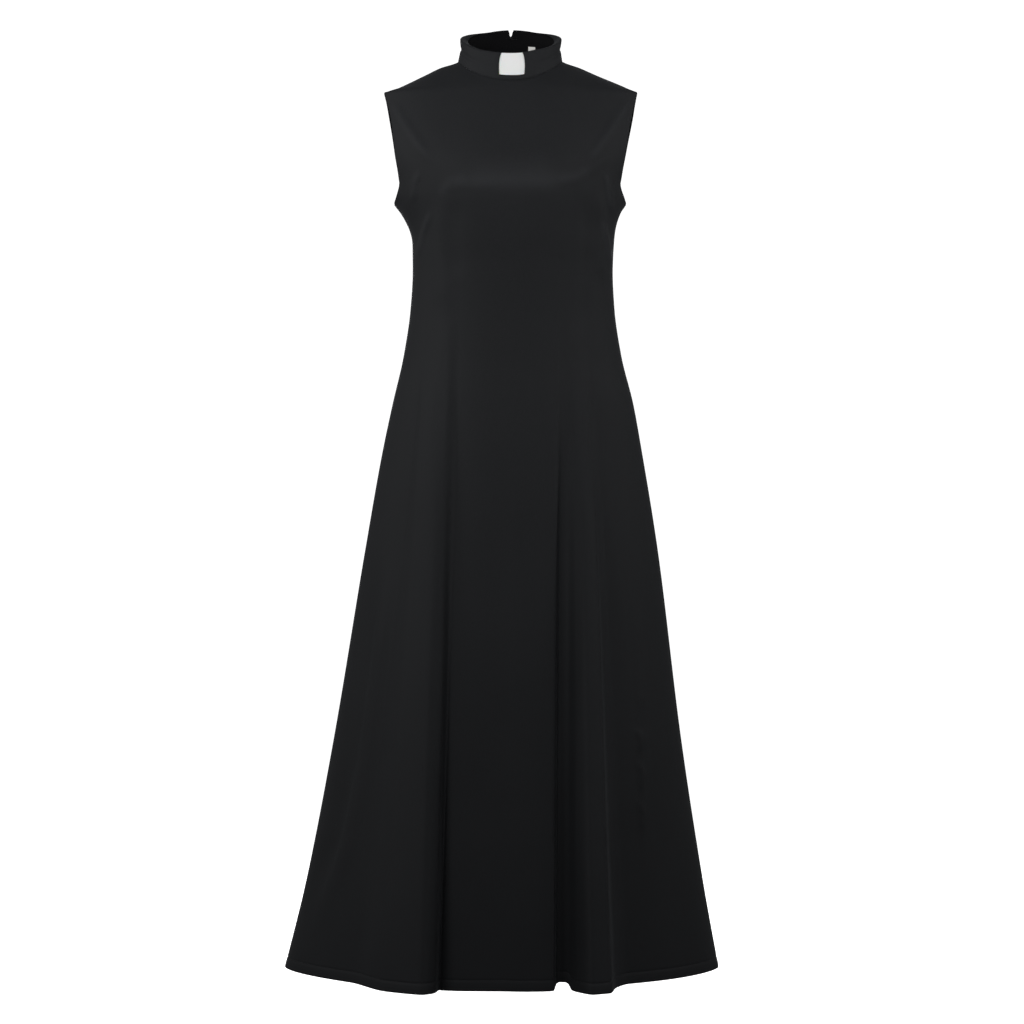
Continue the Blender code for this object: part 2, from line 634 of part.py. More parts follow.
def tube(path, radius, sides=6):
    """A wire of round section along a path of points."""
    path = np.array(path, float)
    along = unit(np.gradient(path, axis=0))
    rings = []
    reference = np.array([0.0, 0.31, 0.95])
    for point, way in zip(path, along):
        across = unit(np.cross(way, reference))
        beside = np.cross(way, across)
        angles = np.linspace(0, 2 * math.pi, sides, endpoint=False)
        rings.append([point + radius * (across * math.cos(a) + beside * math.sin(a)) for a in angles])
        reference = beside
    points = np.array(rings).reshape(-1, 3)
    faces = []
    for r in range(len(path) - 1):
        for s in range(sides):
            a, b = r * sides + s, r * sides + (s + 1) % sides
            faces += [(a, b, b + sides), (a, b + sides, a + sides)]
    last = (len(path) - 1) * sides
    for s in range(1, sides - 1):
        faces += [(0, s + 1, s), (last, last + s, last + s + 1)]
    return facing_outward(points, np.array(faces))


def add_hook_and_eye():
    """A wire hook from the right end of the collar, round the bar of an eye on the left end."""
    share = 1 - HOOK_BELOW_TOP / collar_facing(math.pi / 2, 0.5)[1]
    middle = collar_point(math.pi / 2, share)
    out = collar_facing(math.pi / 2, share)[0]
    up = np.array([0.0, -out[2], out[1]])

    def place(across, layer, rise):
        """layer 0 lies against the collar's inside, and each next layer passes inside it."""
        on_collar = collar_point(math.pi / 2 - math.asin(across / COLLAR_LEFT), share)
        depth = COLLAR_WALL + CLEARANCE + WIRE / 2 + layer * FASTENER_ROOM
        beside = np.array([on_collar[0], middle[1], middle[2]])
        return beside + up * rise - out * (depth + (middle - on_collar) @ out)

    eye = [
        place(EYE_END_ACROSS, 0, EYE_HALF_TALL),
        place(EYE_END_ACROSS / 2, 0.5, EYE_HALF_TALL),
        place(EYE_BAR_ACROSS + EYE_CORNER, 1, EYE_HALF_TALL),
        place(EYE_BAR_ACROSS, 1, EYE_HALF_TALL - EYE_CORNER),
        place(EYE_BAR_ACROSS, 1, EYE_CORNER - EYE_HALF_TALL),
        place(EYE_BAR_ACROSS + EYE_CORNER, 1, -EYE_HALF_TALL),
        place(EYE_END_ACROSS / 2, 0.5, -EYE_HALF_TALL),
        place(EYE_END_ACROSS, 0, -EYE_HALF_TALL),
    ]
    add_object("eye", *tube(eye, WIRE / 2), "black_enamel")
    hook = [place(HOOK_END_ACROSS, 0, 0), place(HOOK_END_ACROSS / 2, 0, 0)]
    for turn in np.linspace(0, math.pi, HOOK_BEND_STEPS + 1):
        bend = HOOK_BEND_ACROSS - FASTENER_ROOM * (1 - math.sin(turn))
        hook.append(place(bend, 1 - math.cos(turn), 0))
    hook.append(place(HOOK_TIP_ACROSS, 2, 0))
    add_object("hook", *tube(hook, WIRE / 2), "black_enamel")


def slider_frame():
    """The slider's place on the centre back, clear of the panel, and its three axes.

    They point across, up the seam and out.
    """
    grid, _ = back_face()
    seam = grid[-SLIDER_STRETCHES - 2 :, grid.shape[1] // 2]
    low, high = seam[1], seam[-1]
    across, up = np.array([1.0, 0.0, 0.0]), unit(high - low)
    out = np.array([0.0, up[2], -up[1]])
    origin = low + (high - low) * SLIDER_PLACE
    return origin + out * (CLEARANCE + ((seam - origin) @ out).max()), across, up, out


def prism(outline, wide, frame):
    """A solid from an outline of (up, out) points, and how wide it is across the middle."""
    origin, across, up, out = frame
    count = len(outline)
    face = [origin + up * u + out * o for u, o in outline]
    points = [p - across * wide / 2 for p in face] + [p + across * wide / 2 for p in face]
    polygons = [tuple(range(count)), tuple(range(count, 2 * count))]
    polygons += [(i, i + count, (i + 1) % count + count, (i + 1) % count) for i in range(count)]
    return points, polygons


def add_polygons(name, points, polygons, finish):
    """A closed object from polygons, turned to face out."""
    made = add_object(name, points, polygons, finish)
    shape = bmesh.new()
    shape.from_mesh(made.data)
    bmesh.ops.recalc_face_normals(shape, faces=shape.faces)
    shape.to_mesh(made.data)
    shape.free()
    return made


def add_zip_slider():
    """The closed slider's body with the bridge that its pull hangs from."""
    frame = slider_frame()
    half, cut = SLIDER_LONG / 2, SLIDER_CUT
    body = [
        (-half, 0.0),
        (half, 0.0),
        (half, SLIDER_THICK - cut),
        (half - cut, SLIDER_THICK),
        (-half + cut, SLIDER_THICK),
        (-half, SLIDER_THICK - cut),
    ]
    slider = add_polygons("zip_slider", *prism(body, SLIDER_WIDE, frame), "black_enamel")
    foot, roof = SLIDER_THICK - BRIDGE_ROOT, SLIDER_THICK + BRIDGE_STAND
    reach, thick = BRIDGE_LONG / 2, BRIDGE_THICK
    bridge = [
        (-reach, foot),
        (-reach, roof + thick - cut),
        (-reach + cut, roof + thick),
        (reach - cut, roof + thick),
        (reach, roof + thick - cut),
        (reach, foot),
        (reach - thick, foot),
        (reach - thick, roof),
        (-reach + thick, roof),
        (-reach + thick, foot),
    ]
    arch = add_polygons("bridge", *prism(bridge, BRIDGE_WIDE, frame), "black_enamel")
    arch.hide_render = True
    arch.display_type = "WIRE"
    join = slider.modifiers.new("bridge", "BOOLEAN")
    join.operation = "UNION"
    join.object = arch


def add_zip_pull():
    """The pull: a small teardrop plate, whose slot goes round the slider's bridge."""
    origin, across, up, out = slider_frame()
    axis = origin + out * (SLIDER_THICK + PULL_AXIS_STAND)
    angles = np.linspace(0, 2 * math.pi, PULL_POINTS, endpoint=False) + math.pi / PULL_POINTS
    half_bar = PULL_BAR / 2
    outer, slot = [], []
    for angle in angles:
        c, s = math.cos(angle), math.sin(angle)
        down = PULL_LONG / 2 - half_bar - s * PULL_LONG / 2
        width = PULL_WIDE / 2 * (1 + PULL_TAPER * min(s, 0))
        outer.append((width * np.sign(c) * abs(c) ** PULL_SQUARE, -down))
        down = half_bar + PULL_SLOT_LONG / 2 * (1 - s)
        slot.append((PULL_SLOT_WIDE / 2 * np.sign(c) * abs(c) ** SLOT_SQUARE, -down))
    points = []
    for ring, side in ((outer, -1), (outer, 1), (slot, 1), (slot, -1)):
        points += [across * x + up * u + out * side * PULL_THICK / 2 for x, u in ring]
    faces = []
    for ring in range(4):
        for i in range(PULL_POINTS):
            j = (i + 1) % PULL_POINTS
            a, b = ring * PULL_POINTS, (ring + 1) % 4 * PULL_POINTS
            faces.append((a + i, a + j, b + j, b + i))
    pull = add_polygons("zip_pull", points, faces, "black_enamel")
    pull.location = axis


def main():
    for old in list(bpy.data.objects):
        bpy.data.objects.remove(old, do_unlink=True)
    add_front()
    add_back_panels()
    add_collar()
    add_tab()
    add_neck_label()
    add_hook_and_eye()
    add_zip_tape()
    add_zip_slider()
    add_zip_pull()


main()
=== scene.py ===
import math

import bpy
import numpy as np
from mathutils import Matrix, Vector


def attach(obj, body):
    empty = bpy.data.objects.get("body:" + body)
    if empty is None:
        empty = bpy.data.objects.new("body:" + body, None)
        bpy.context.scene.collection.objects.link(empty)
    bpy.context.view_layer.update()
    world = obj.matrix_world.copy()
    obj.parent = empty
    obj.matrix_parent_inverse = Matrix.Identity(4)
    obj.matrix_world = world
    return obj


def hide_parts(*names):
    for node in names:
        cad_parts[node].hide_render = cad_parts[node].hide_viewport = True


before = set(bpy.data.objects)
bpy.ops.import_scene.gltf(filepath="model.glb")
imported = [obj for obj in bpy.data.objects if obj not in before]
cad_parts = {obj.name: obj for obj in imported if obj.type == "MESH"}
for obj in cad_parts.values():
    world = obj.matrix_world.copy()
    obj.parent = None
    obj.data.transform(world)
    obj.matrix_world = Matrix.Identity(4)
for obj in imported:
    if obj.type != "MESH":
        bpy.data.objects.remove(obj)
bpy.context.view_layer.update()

# The front is one piece of black crepe jersey, from the shoulder seams to the hem. Bust darts
# give its fullness, and its flare falls in soft folds. The hem is turned up 15 mm and
# topstitched, and the armhole edges are turned in.

WALL = 0.0015  # jersey with its turned edges
HEM_HEIGHT, UNDERARM_HEIGHT, SHOULDER_TIP_HEIGHT = -1.320, -0.2088, -0.0467

# The form without folds: height, reach to the right, left, front and back, and the power of
# the front's and the back's curve (2 is an ellipse).
SECTIONS = np.array((
    (-1.3200, 0.3317, 0.3016, 0.2280, 0.1500, 1.60, 1.90),  # hem
    (-1.2000, 0.3019, 0.2800, 0.2120, 0.1480, 1.62, 1.95),
    (-0.9900, 0.2609, 0.2475, 0.1850, 0.1420, 1.68, 2.00),
    (-0.7096, 0.2140, 0.2126, 0.1520, 0.1320, 1.80, 2.05),
    (-0.5694, 0.1892, 0.1899, 0.1370, 0.1260, 1.90, 2.10),
    (-0.4993, 0.1743, 0.1770, 0.1290, 0.1220, 2.00, 2.15),  # hips
    (-0.4292, 0.1581, 0.1596, 0.1225, 0.1120, 2.10, 2.20),
    (-0.3592, 0.1480, 0.1495, 0.1198, 0.0960, 2.20, 2.20),
    (-0.3066, 0.1450, 0.1470, 0.1210, 0.0900, 2.25, 2.20),  # waist
    (-0.2657, 0.1454, 0.1488, 0.1236, 0.0970, 2.28, 2.25),
    (-0.2424, 0.1508, 0.1511, 0.1253, 0.1020, 2.18, 2.25),
    (-0.2190, 0.1632, 0.1588, 0.1270, 0.1060, 2.06, 2.25),
    (-0.2088, 0.1723, 0.1669, 0.1276, 0.1075, 2.03, 2.25),  # underarm
    (-0.1870, 0.1718, 0.1652, 0.1274, 0.1100, 2.06, 2.25),
    (-0.1650, 0.1772, 0.1712, 0.1240, 0.1110, 2.13, 2.25),
    (-0.1256, 0.1850, 0.1800, 0.1090, 0.1090, 2.20, 2.15),
    (-0.0788, 0.1870, 0.1840, 0.0890, 0.1010, 2.00, 1.95),
    (-0.0467, 0.1868, 0.1830, 0.0745, 0.0940, 1.80, 1.75),  # shoulder tip
    (-0.0380, 0.1640, 0.1660, 0.0700, 0.0915, 1.75, 1.75),
    (-0.0204, 0.1270, 0.1265, 0.0570, 0.0845, 1.70, 1.80),
    (-0.0088, 0.1040, 0.0990, 0.0450, 0.0790, 1.70, 1.90),
    (0.0000, 0.0790, 0.0738, 0.0350, 0.0745, 1.70, 2.00),  # neck end of the shoulder seam
    (0.0090, 0.0724, 0.0678, 0.0300, 0.0690, 1.70, 2.00),
    (0.0180, 0.0645, 0.0605, 0.0200, 0.0620, 1.70, 2.00),  # back of the neck
    (0.0400, 0.0300, 0.0300, 0.0100, 0.0300, 1.70, 2.00),
))
# Each bust point: its place, its half width and height, and how far it stands out of the form.
BUST_ACROSS, BUST_HEIGHT, BUST_WIDE, BUST_TALL, BUST_OUT = 0.082, -0.192, 0.052, 0.060, 0.005


def hump(distance, width):
    """A soft hump: 1 where the distance is 0, and nearly 0 two widths away."""
    return np.exp(-((distance / width) ** 2))


def smooth_through(places, values):
    """A function that runs smoothly through a table's values and never past them."""
    places, values = np.asarray(places, float), np.asarray(values, float)
    gaps = np.diff(places)
    slopes = np.diff(values) / gaps
    tangents = np.zeros(len(values))
    tangents[0], tangents[-1] = slopes[0], slopes[-1]
    for i in range(1, len(values) - 1):
        before, after = slopes[i - 1], slopes[i]
        if before * after > 0:
            a = 2 * gaps[i] + gaps[i - 1]
            b = gaps[i] + 2 * gaps[i - 1]
            tangents[i] = (a + b) / (a / before + b / after)

    def at(place):
        place = np.clip(place, places[0], places[-1])
        i = np.clip(np.searchsorted(places, place) - 1, 0, len(gaps) - 1)
        t = (place - places[i]) / gaps[i]
        return (
            (1 + 2 * t) * (1 - t) ** 2 * values[i]
            + t * (1 - t) ** 2 * gaps[i] * tangents[i]
            + t * t * (3 - 2 * t) * values[i + 1]
            + t * t * (t - 1) * gaps[i] * tangents[i + 1]
        )

    return at


section_names = ("right", "left", "front", "back", "front power", "back power")
section_at = {
    name: smooth_through(SECTIONS[:, 0], SECTIONS[:, i + 1]) for i, name in enumerate(section_names)
}


def ring_sizes(height, side, across):
    """Reach to this side, reach to the front or back, and the ring's power, at a height."""
    reach = np.where(across < 0, section_at["right"](height), section_at["left"](height))
    return reach, section_at[side](height), section_at[side + " power"](height)


def form_point(turn, height, side):
    """A point of the form: turn runs from 0 at the right side seam to 1 at the left one."""
    angle = math.pi * np.asarray(turn, float)
    across = -np.cos(angle)
    reach, depth, power = ring_sizes(height, side, across)
    x = np.sign(across) * reach * np.abs(across) ** (2 / power)
    y = depth * np.abs(np.sin(angle)) ** (2 / power)
    z = np.broadcast_to(height, x.shape)
    if side == "back":
        return np.stack([x, y, z], -1)
    bust = hump(np.abs(x) - BUST_ACROSS, BUST_WIDE) * hump(z - BUST_HEIGHT, BUST_TALL)
    return np.stack([x, -(y + BUST_OUT * bust * y / depth), z], -1)


def turn_of_across(across, height, side):
    """The turn at which the ring is this far from the middle."""
    reach, _, power = ring_sizes(height, side, np.asarray(across, float))
    share = np.clip(np.abs(across) / reach, 0, 1) ** (power / 2)
    return np.arccos(-np.sign(across) * share) / math.pi


def turn_of_depth(depth, height, side, across_sign):
    """The turn at which the ring is this far in front of or behind the side seams."""
    _, full, power = ring_sizes(height, side, across_sign)
    turn = np.arcsin(np.clip(depth / full, 0, 1) ** (power / 2)) / math.pi
    return np.where(across_sign < 0, turn, 1 - turn)


# The folds as lines down the cloth: distance from the middle where the line starts and at the
# hem, the height where the fold starts to open, its depth at the hem from the side seams, and
# the columns of cloth to the next line.
SIDE = 1.0  # farther out than any ring, so it means the side seam
FRONT_FOLDS = (
    (-SIDE, -SIDE, -0.40, 0.0000, 3),  # right side seam
    (-0.1360, -0.2285, -0.50, 0.1570, 3),  # outer crease
    (-0.1240, -0.1744, -0.42, 0.2400, 2),  # right ridge: outer side, top and inner side
    (-0.1080, -0.1290, -0.36, 0.2682, 2),
    (-0.0920, -0.1060, -0.29, 0.2550, 2),
    (-0.0720, -0.1002, -0.29, 0.2280, 1),  # right valley
    (-0.0675, -0.0965, -0.29, 0.2305, 3),  # the middle, from its right edge to its left edge
    (-0.0060, -0.0140, -0.45, 0.2390, 4),
    (0.0655, 0.0575, -0.34, 0.2370, 1),
    (0.0700, 0.0620, -0.31, 0.2170, 1),  # left valley, and its outer side
    (0.0780, 0.0755, -0.34, 0.2190, 2),
    (0.0900, 0.0905, -0.38, 0.2460, 2),  # left ridge: inner side, top and outer side
    (0.1040, 0.1139, -0.42, 0.2682, 2),
    (0.1130, 0.1360, -0.50, 0.2560, 1),
    (0.1175, 0.1445, -0.50, 0.2080, 3),  # foot of the left ridge, then a crease and a ridge
    (0.1220, 0.1640, -0.50, 0.1710, 3),
    (0.1360, 0.2260, -0.60, 0.1270, 3),
    (SIDE, SIDE, -0.40, 0.0000, 0),  # left side seam
)
FINE = 4  # columns here to each column of the CAD model
RING_STEPS, SEAM_STEPS = 60, 200  # fine steps, from which columns are set out evenly
SOFT_START = 0.25  # the share of a fold's length in which it opens softly
SHOULDER_COLUMNS = 10 * FINE
# The rows above the underarm: how many, how much closer at both ends, and the one beside the top.
YOKE_ROWS, YOKE_ROW_EASE, LAST_YOKE_ROW = 42, 0.7, 0.996
# How far the armhole is cut in, in front and behind, and where and how roundly along its height.
FRONT_SCOOP, BACK_SCOOP, SCOOP_LOW, SCOOP_ROUND = 0.0500, 0.0440, 0.68, 0.70
NECK_OVAL = (0.0738, 0.0790, 0.0620, 0.0680)  # the neckline's reach: left, right, back, front

HEM_TURNED = 0.015
HEM_ROWS = (0, 0.002, 0.005, 0.008, 0.011, 0.013, 0.0142, 0.015, 0.0158, 0.017, 0.019, 0.022)
BODY_START, BODY_ROWS = 0.026, 210  # above the rows of the hem, up to the underarm
row_heights = np.concatenate([
    HEM_HEIGHT + np.array(HEM_ROWS),
    np.linspace(HEM_HEIGHT + BODY_START, UNDERARM_HEIGHT, BODY_ROWS),
])


def lengths_along(line):
    """How far each point of a line is from its start."""
    return np.concatenate([[0], np.cumsum(np.linalg.norm(np.diff(line, axis=0), axis=1))])


def points_at(places, marks, line):
    """The points at these places of a line, whose own points are at the marks."""
    return np.stack([np.interp(places, marks, line[:, k]) for k in range(line.shape[1])], -1)


def even_along(line, count):
    """The line's points at count + 1 places that are evenly spaced along it."""
    index = np.arange(len(line))
    along = lengths_along(line)
    return points_at(np.interp(np.linspace(0, along[-1], count + 1), along, index), index, line)


def folded_ring(height, side, folds):
    """The points of a panel's columns at a height, on the form with its folds."""
    facing = -1 if side == "front" else 1
    turns, offsets = [], []
    for across_top, across_hem, start, depth_hem, _ in folds:
        down = min(max((start - height) / (start - HEM_HEIGHT), 0), 1)
        opened = down * (1 - (1 - min(down / SOFT_START, 1)) ** 2 / 2)
        across = across_top + (across_hem - across_top) * down
        turns.append(float(turn_of_across(across, height, side)))
        at_hem = form_point(turn_of_across(across_hem, HEM_HEIGHT, side), HEM_HEIGHT, side)
        offsets.append((facing * depth_hem - at_hem[1]) * opened)
    offset_at = smooth_through(turns, offsets)
    points = []
    for i, fold in enumerate(folds[:-1]):
        turn = np.linspace(turns[i], turns[i + 1], RING_STEPS + 1)
        stretch = form_point(turn, height, side)
        stretch[:, 1] += offset_at(turn)
        points.append(even_along(stretch, fold[4] * FINE)[1 if i else 0 :])
    return np.concatenate(points)


def armhole_across(share, height, side, across_sign):
    """How far across the armhole's edge is: share runs from the underarm to the shoulder tip."""
    scoop = FRONT_SCOOP if side == "front" else BACK_SCOOP
    depth = scoop * max(math.sin(math.pi * share**SCOOP_LOW), 0) ** SCOOP_ROUND
    return form_point(turn_of_depth(depth, height, side, across_sign), height, side)[0]


def shoulder_seam(across_sign):
    """Points (across, height) along a shoulder seam, evenly spaced from its tip to the neck."""
    heights = np.linspace(SHOULDER_TIP_HEIGHT, 0, SEAM_STEPS)
    across = across_sign * ring_sizes(heights, "front", across_sign)[0]
    return even_along(np.stack([across, heights], -1), SHOULDER_COLUMNS)


NECK_STEPS, HALVINGS = 144, 50


def height_on_form(x, y):
    """The height at which the form passes through a point seen from above, near the neck."""
    side = "front" if y < 0 else "back"
    low, high = UNDERARM_HEIGHT, SECTIONS[-1, 0]
    for _ in range(HALVINGS):
        middle = (low + high) / 2
        reach, depth, power = ring_sizes(middle, side, x)
        inside = (abs(x) / reach) ** power + (abs(y) / depth) ** power < 1
        low, high = (middle, high) if inside else (low, middle)
    return (low + high) / 2


def oval(angle, left, right, back, front):
    """x and y of an oval seen from above. The angle runs from 0 at the left past the back."""
    c, s = np.cos(angle), np.sin(angle)
    return c * np.where(c > 0, left, right), s * np.where(s > 0, back, front)


neck_angles = np.linspace(0, 2 * math.pi, NECK_STEPS + 1)
neck_heights = np.array([height_on_form(x, y) for x, y in zip(*oval(neck_angles, *NECK_OVAL))])


def neckline(angle):
    """Points of the neckline."""
    height = np.interp(angle % (2 * math.pi), neck_angles, neck_heights)
    return np.stack([*oval(angle, *NECK_OVAL), height], -1)


def yoke_rows(side, below):
    """The rows above the underarm, blended between the ring below, armholes, shoulders and neck."""
    way = 1 if side == "front" else -1
    neck_columns = len(below) - 1 - 2 * SHOULDER_COLUMNS
    neck = neckline(math.pi + way * np.linspace(0, math.pi, neck_columns + 1))
    top = [shoulder_seam(-1)[:-1], neck[:, (0, 2)], shoulder_seam(1)[::-1][1:]]
    top_across, top_height = np.concatenate(top).T
    place = np.linspace(-1, 1, len(below))
    even = np.linspace(0, 1, YOKE_ROWS + 1)[1:]
    shares = even + YOKE_ROW_EASE * ((1 - np.cos(math.pi * even)) / 2 - even)
    rows = []
    for share in np.concatenate([shares[:-1], [LAST_YOKE_ROW, 1.0]]):
        across = below[:, 0] * (1 - share) + top_across * share
        height = UNDERARM_HEIGHT * (1 - share) + top_height * share
        for sign, index in ((-1, 0), (1, -1)):
            edge = armhole_across(share, height[index], side, sign)
            across = across + np.clip(sign * place, 0, 1) ** 2 * (edge - across[index])
        rows.append(form_point(turn_of_across(across, height, side), height, side))
    return rows


# The left valley draws the hem up: its place, half width and rise, and how far up it fades out.
LIFT_ACROSS, LIFT_WIDE, LIFT_UP, LIFT_TALL = 0.0700, 0.0105, 0.0095, 0.300


def hem_lift(grid):
    """How far the left valley draws the cloth up."""
    down = np.clip((HEM_HEIGHT + LIFT_TALL - grid[..., 2]) / LIFT_TALL, 0, 1)
    return LIFT_UP * np.exp(-(((grid[..., 0] - LIFT_ACROSS) / LIFT_WIDE) ** 6)) * down * down


def along_from_start(grid, axis):
    """How far each point is from its row's or column's start, along the cloth."""
    steps = np.linalg.norm(np.diff(grid, axis=axis), axis=2)
    start = np.zeros_like(np.take(steps, [0], axis))
    return np.concatenate([start, np.cumsum(steps, axis)], axis)


def from_edges(grid):
    """How far each point is from its row's start, and from its end, along the cloth."""
    across = along_from_start(grid, 1)
    return across, across[:, -1:] - across


EASE_TALL, EASE_EDGE, EASE_ROUNDS = 0.042, 0.016, 40  # half widths, and rounds of smoothing


def ease_underarm(grid):
    """Smooths the cloth up and down near the underarm, so that only its edges jut out there."""
    free = 1 - sum(hump(distance, EASE_EDGE) for distance in from_edges(grid))
    share = (np.clip(free, 0, 1) * hump(grid[..., 2] - UNDERARM_HEIGHT, EASE_TALL))[1:-1, :, None]
    for _ in range(EASE_ROUNDS):
        level = (grid[:-2] + 2 * grid[1:-1] + grid[2:]) / 4
        grid[1:-1] += share * (level - grid[1:-1])


def panel_grid(side, folds):
    """The outer face of the front or the whole back, as rows of points from the hem up."""
    rows = [folded_ring(height, side, folds) for height in row_heights]
    grid = np.array(rows + yoke_rows(side, rows[-1]))
    ease_underarm(grid)
    if side == "front":
        grid[..., 2] += hem_lift(grid)
    # The side and shoulder seams lie in the plane between the front and the back.
    grid[: len(row_heights), (0, -1), 1] = 0
    grid[-1, : SHOULDER_COLUMNS + 1, 1] = 0
    grid[-1, -SHOULDER_COLUMNS - 1 :, 1] = 0
    return grid


EDGE_CELL = (0.10, 0.24, 0.42, 0.66)  # extra columns in the cell beside each edge


def closer_at_edges(grid):
    """The grid with more columns beside its two edges, where the cloth turns or is sewn."""
    first, last = grid[:, 0], grid[:, -1]
    near_first = [first + (grid[:, 1] - first) * share for share in EDGE_CELL]
    near_last = [last + (grid[:, -2] - last) * share for share in EDGE_CELL[::-1]]
    columns = [first, *near_first, *grid[:, 1:-1].transpose(1, 0, 2), *near_last, last]
    return np.stack(columns, 1)


def unit(vectors):
    return vectors / np.linalg.norm(vectors, axis=-1, keepdims=True)


def facing_out(grid, side):
    """Unit vectors that face out of a grid of points."""
    outward = unit(np.cross(np.gradient(grid, axis=1), np.gradient(grid, axis=0)))
    return outward if side == "front" else -outward


CREASE_FADE = 0.25  # the share of a crease's length in which each end fades out


def crease(points, line, height, width):
    """A soft ridge (or a groove, with a height below 0) along a line of (x, z) points."""
    line = np.array(line, float)
    along = lengths_along(line)
    nearest = np.full(points.shape[:-1], np.inf)
    place = np.zeros(points.shape[:-1])
    for a, way, start in zip(line, np.diff(line, axis=0), along):
        t = np.clip(((points - a) @ way) / (way @ way), 0, 1)
        distance = np.linalg.norm(points - (a + t[..., None] * way), axis=-1)
        share = (start + t * np.linalg.norm(way)) / along[-1]
        place = np.where(distance < nearest, share, place)
        nearest = np.minimum(nearest, distance)
    ends = np.clip(np.minimum(place, 1 - place) / CREASE_FADE, 0, 1)
    return height * hump(nearest, width) * ends * ends * (3 - 2 * ends)


# Where the jersey is drawn or drops over the body, as (x, z) lines: the drags from the shoulders
# to the bust, a dip down the skirt's right side, and the marks below the underarms. A crease adds
# a height and a half width to its line.
RIGHT_DRAG = ((-0.181, -0.056), (-0.158, -0.095), (-0.135, -0.130), (-0.112, -0.162))
LEFT_DRAG = ((0.176, -0.053), (0.150, -0.095), (0.128, -0.130), (0.104, -0.165))
RIGHT_SIDE_DIP = np.array((
    (-0.186, -0.700), (-0.1958, -0.784), (-0.2102, -0.899), (-0.2261, -1.014),
    (-0.2506, -1.129), (-0.2800, -1.216), (-0.2960, -1.273),
))
LEFT_PUCKER = ((0.176, -0.750), (0.179, -0.840), (0.184, -0.930), (0.186, -1.030), (0.188, -1.175))
SIDE_MARKS = (
    ((-0.133, -0.168), (-0.141, -0.187), (-0.1437, -0.214)),
    ((0.132, -0.168), (0.1385, -0.190), (0.1440, -0.229)),
    ((0.126, -0.236), (0.137, -0.272), (0.1437, -0.306)),
    ((-0.115, -0.225), (-0.128, -0.255), (-0.1380, -0.292)),
)
FRONT_CREASES = (
    (((-0.102, -0.212), (-0.095, -0.1965), (-0.065, -0.1930), (-0.015, -0.1950)), 0.0006, 0.0060),
    (((0.060, -0.1900), (0.092, -0.1830), (0.116, -0.1640)), 0.0009, 0.0055),
    (RIGHT_DRAG, 0.0032, 0.0075),
    (LEFT_DRAG, 0.0028, 0.0070),
    (((0.140, -0.142), (0.128, -0.156), (0.108, -0.176)), 0.0012, 0.0045),
    (SIDE_MARKS[0], 0.0024, 0.0035),
    (SIDE_MARKS[1], 0.0026, 0.0035),
    (((-0.106, -0.205), (-0.103, -0.240), (-0.0985, -0.300), (-0.096, -0.380)), 0.0024, 0.0105),
    (((-0.084, -0.205), (-0.080, -0.270), (-0.079, -0.330)), -0.0014, 0.0130),
    (((0.106, -0.196), (0.108, -0.260), (0.104, -0.330), (0.100, -0.420)), -0.0024, 0.0120),
    (((0.126, -0.196), (0.130, -0.250), (0.126, -0.330)), 0.0026, 0.0080),
    (SIDE_MARKS[2], 0.0022, 0.0040),
    (SIDE_MARKS[3], 0.0020, 0.0040),
    (RIGHT_SIDE_DIP + (0.012, 0), 0.0042, 0.0110),
    (RIGHT_SIDE_DIP - (0.004, 0), -0.0060, 0.0120),
    (LEFT_PUCKER, 0.0018, 0.0045),
    (((0.176, -0.915), (0.183, -0.925), (0.182, -0.940)), 0.0016, 0.0028),
    (((0.174, -0.965), (0.184, -0.980), (0.180, -0.998)), 0.0018, 0.0028),
    (((0.176, -1.010), (0.186, -1.030), (0.181, -1.052)), 0.0016, 0.0030),
    (((0.178, -1.065), (0.187, -1.085), (0.183, -1.110)), 0.0014, 0.0030),
)


# A slow, low waviness, as worn cloth has everywhere: its height, the number of waves that make
# it, and the most radians to a metre across and up.
WAVE_HEIGHT, WAVES, WAVE_ACROSS, WAVE_UP = 0.0006, 9, 70.0, 26.0


def undulation(points, seed):
    """How far the waviness lifts the cloth."""
    random = np.random.default_rng(seed)
    wave = np.zeros(points.shape[:-1])
    for _ in range(WAVES):
        way = random.uniform(-1, 1, 2) * (WAVE_ACROSS, WAVE_UP)
        wave += np.sin(points @ way + random.uniform(0, 2 * math.pi))
    return WAVE_HEIGHT * wave / math.sqrt(WAVES)


# The relief beside an edge, as humps and grooves: height, distance from the edge and half width.
TOP_SEAM = ((-0.0007, 0, 0.0010), (0.0004, 0.0045, 0.0025), (-0.0003, 0.0085, 0.0010))
TURNED_HEM = ((-0.0006, HEM_TURNED, 0.0011), (0.0004, 0.0060, 0.0060))
TURNED_ARMHOLE = ((0.0008, 0.0036, 0.0024), (-0.0006, 0, 0.0010))
SIDE_SEAM = ((-0.0008, 0, 0.0013),)


def relief_beside(distance, profile):
    """How far the cloth stands proud at a distance from an edge."""
    return sum(height * hump(distance - place, width) for height, place, width in profile)


def seam_and_hem_relief(grid):
    """How far the cloth stands proud beside its seams, its hem and its turned armhole edges."""
    up = along_from_start(grid, 0)
    relief = relief_beside(up[-1:] - up, TOP_SEAM) + relief_beside(up, TURNED_HEM)
    above_underarm = np.arange(len(grid))[:, None] >= len(row_heights)
    for distance in from_edges(grid):
        turned, sewn = relief_beside(distance, TURNED_ARMHOLE), relief_beside(distance, SIDE_SEAM)
        relief += np.where(above_underarm, turned, sewn)
    return relief


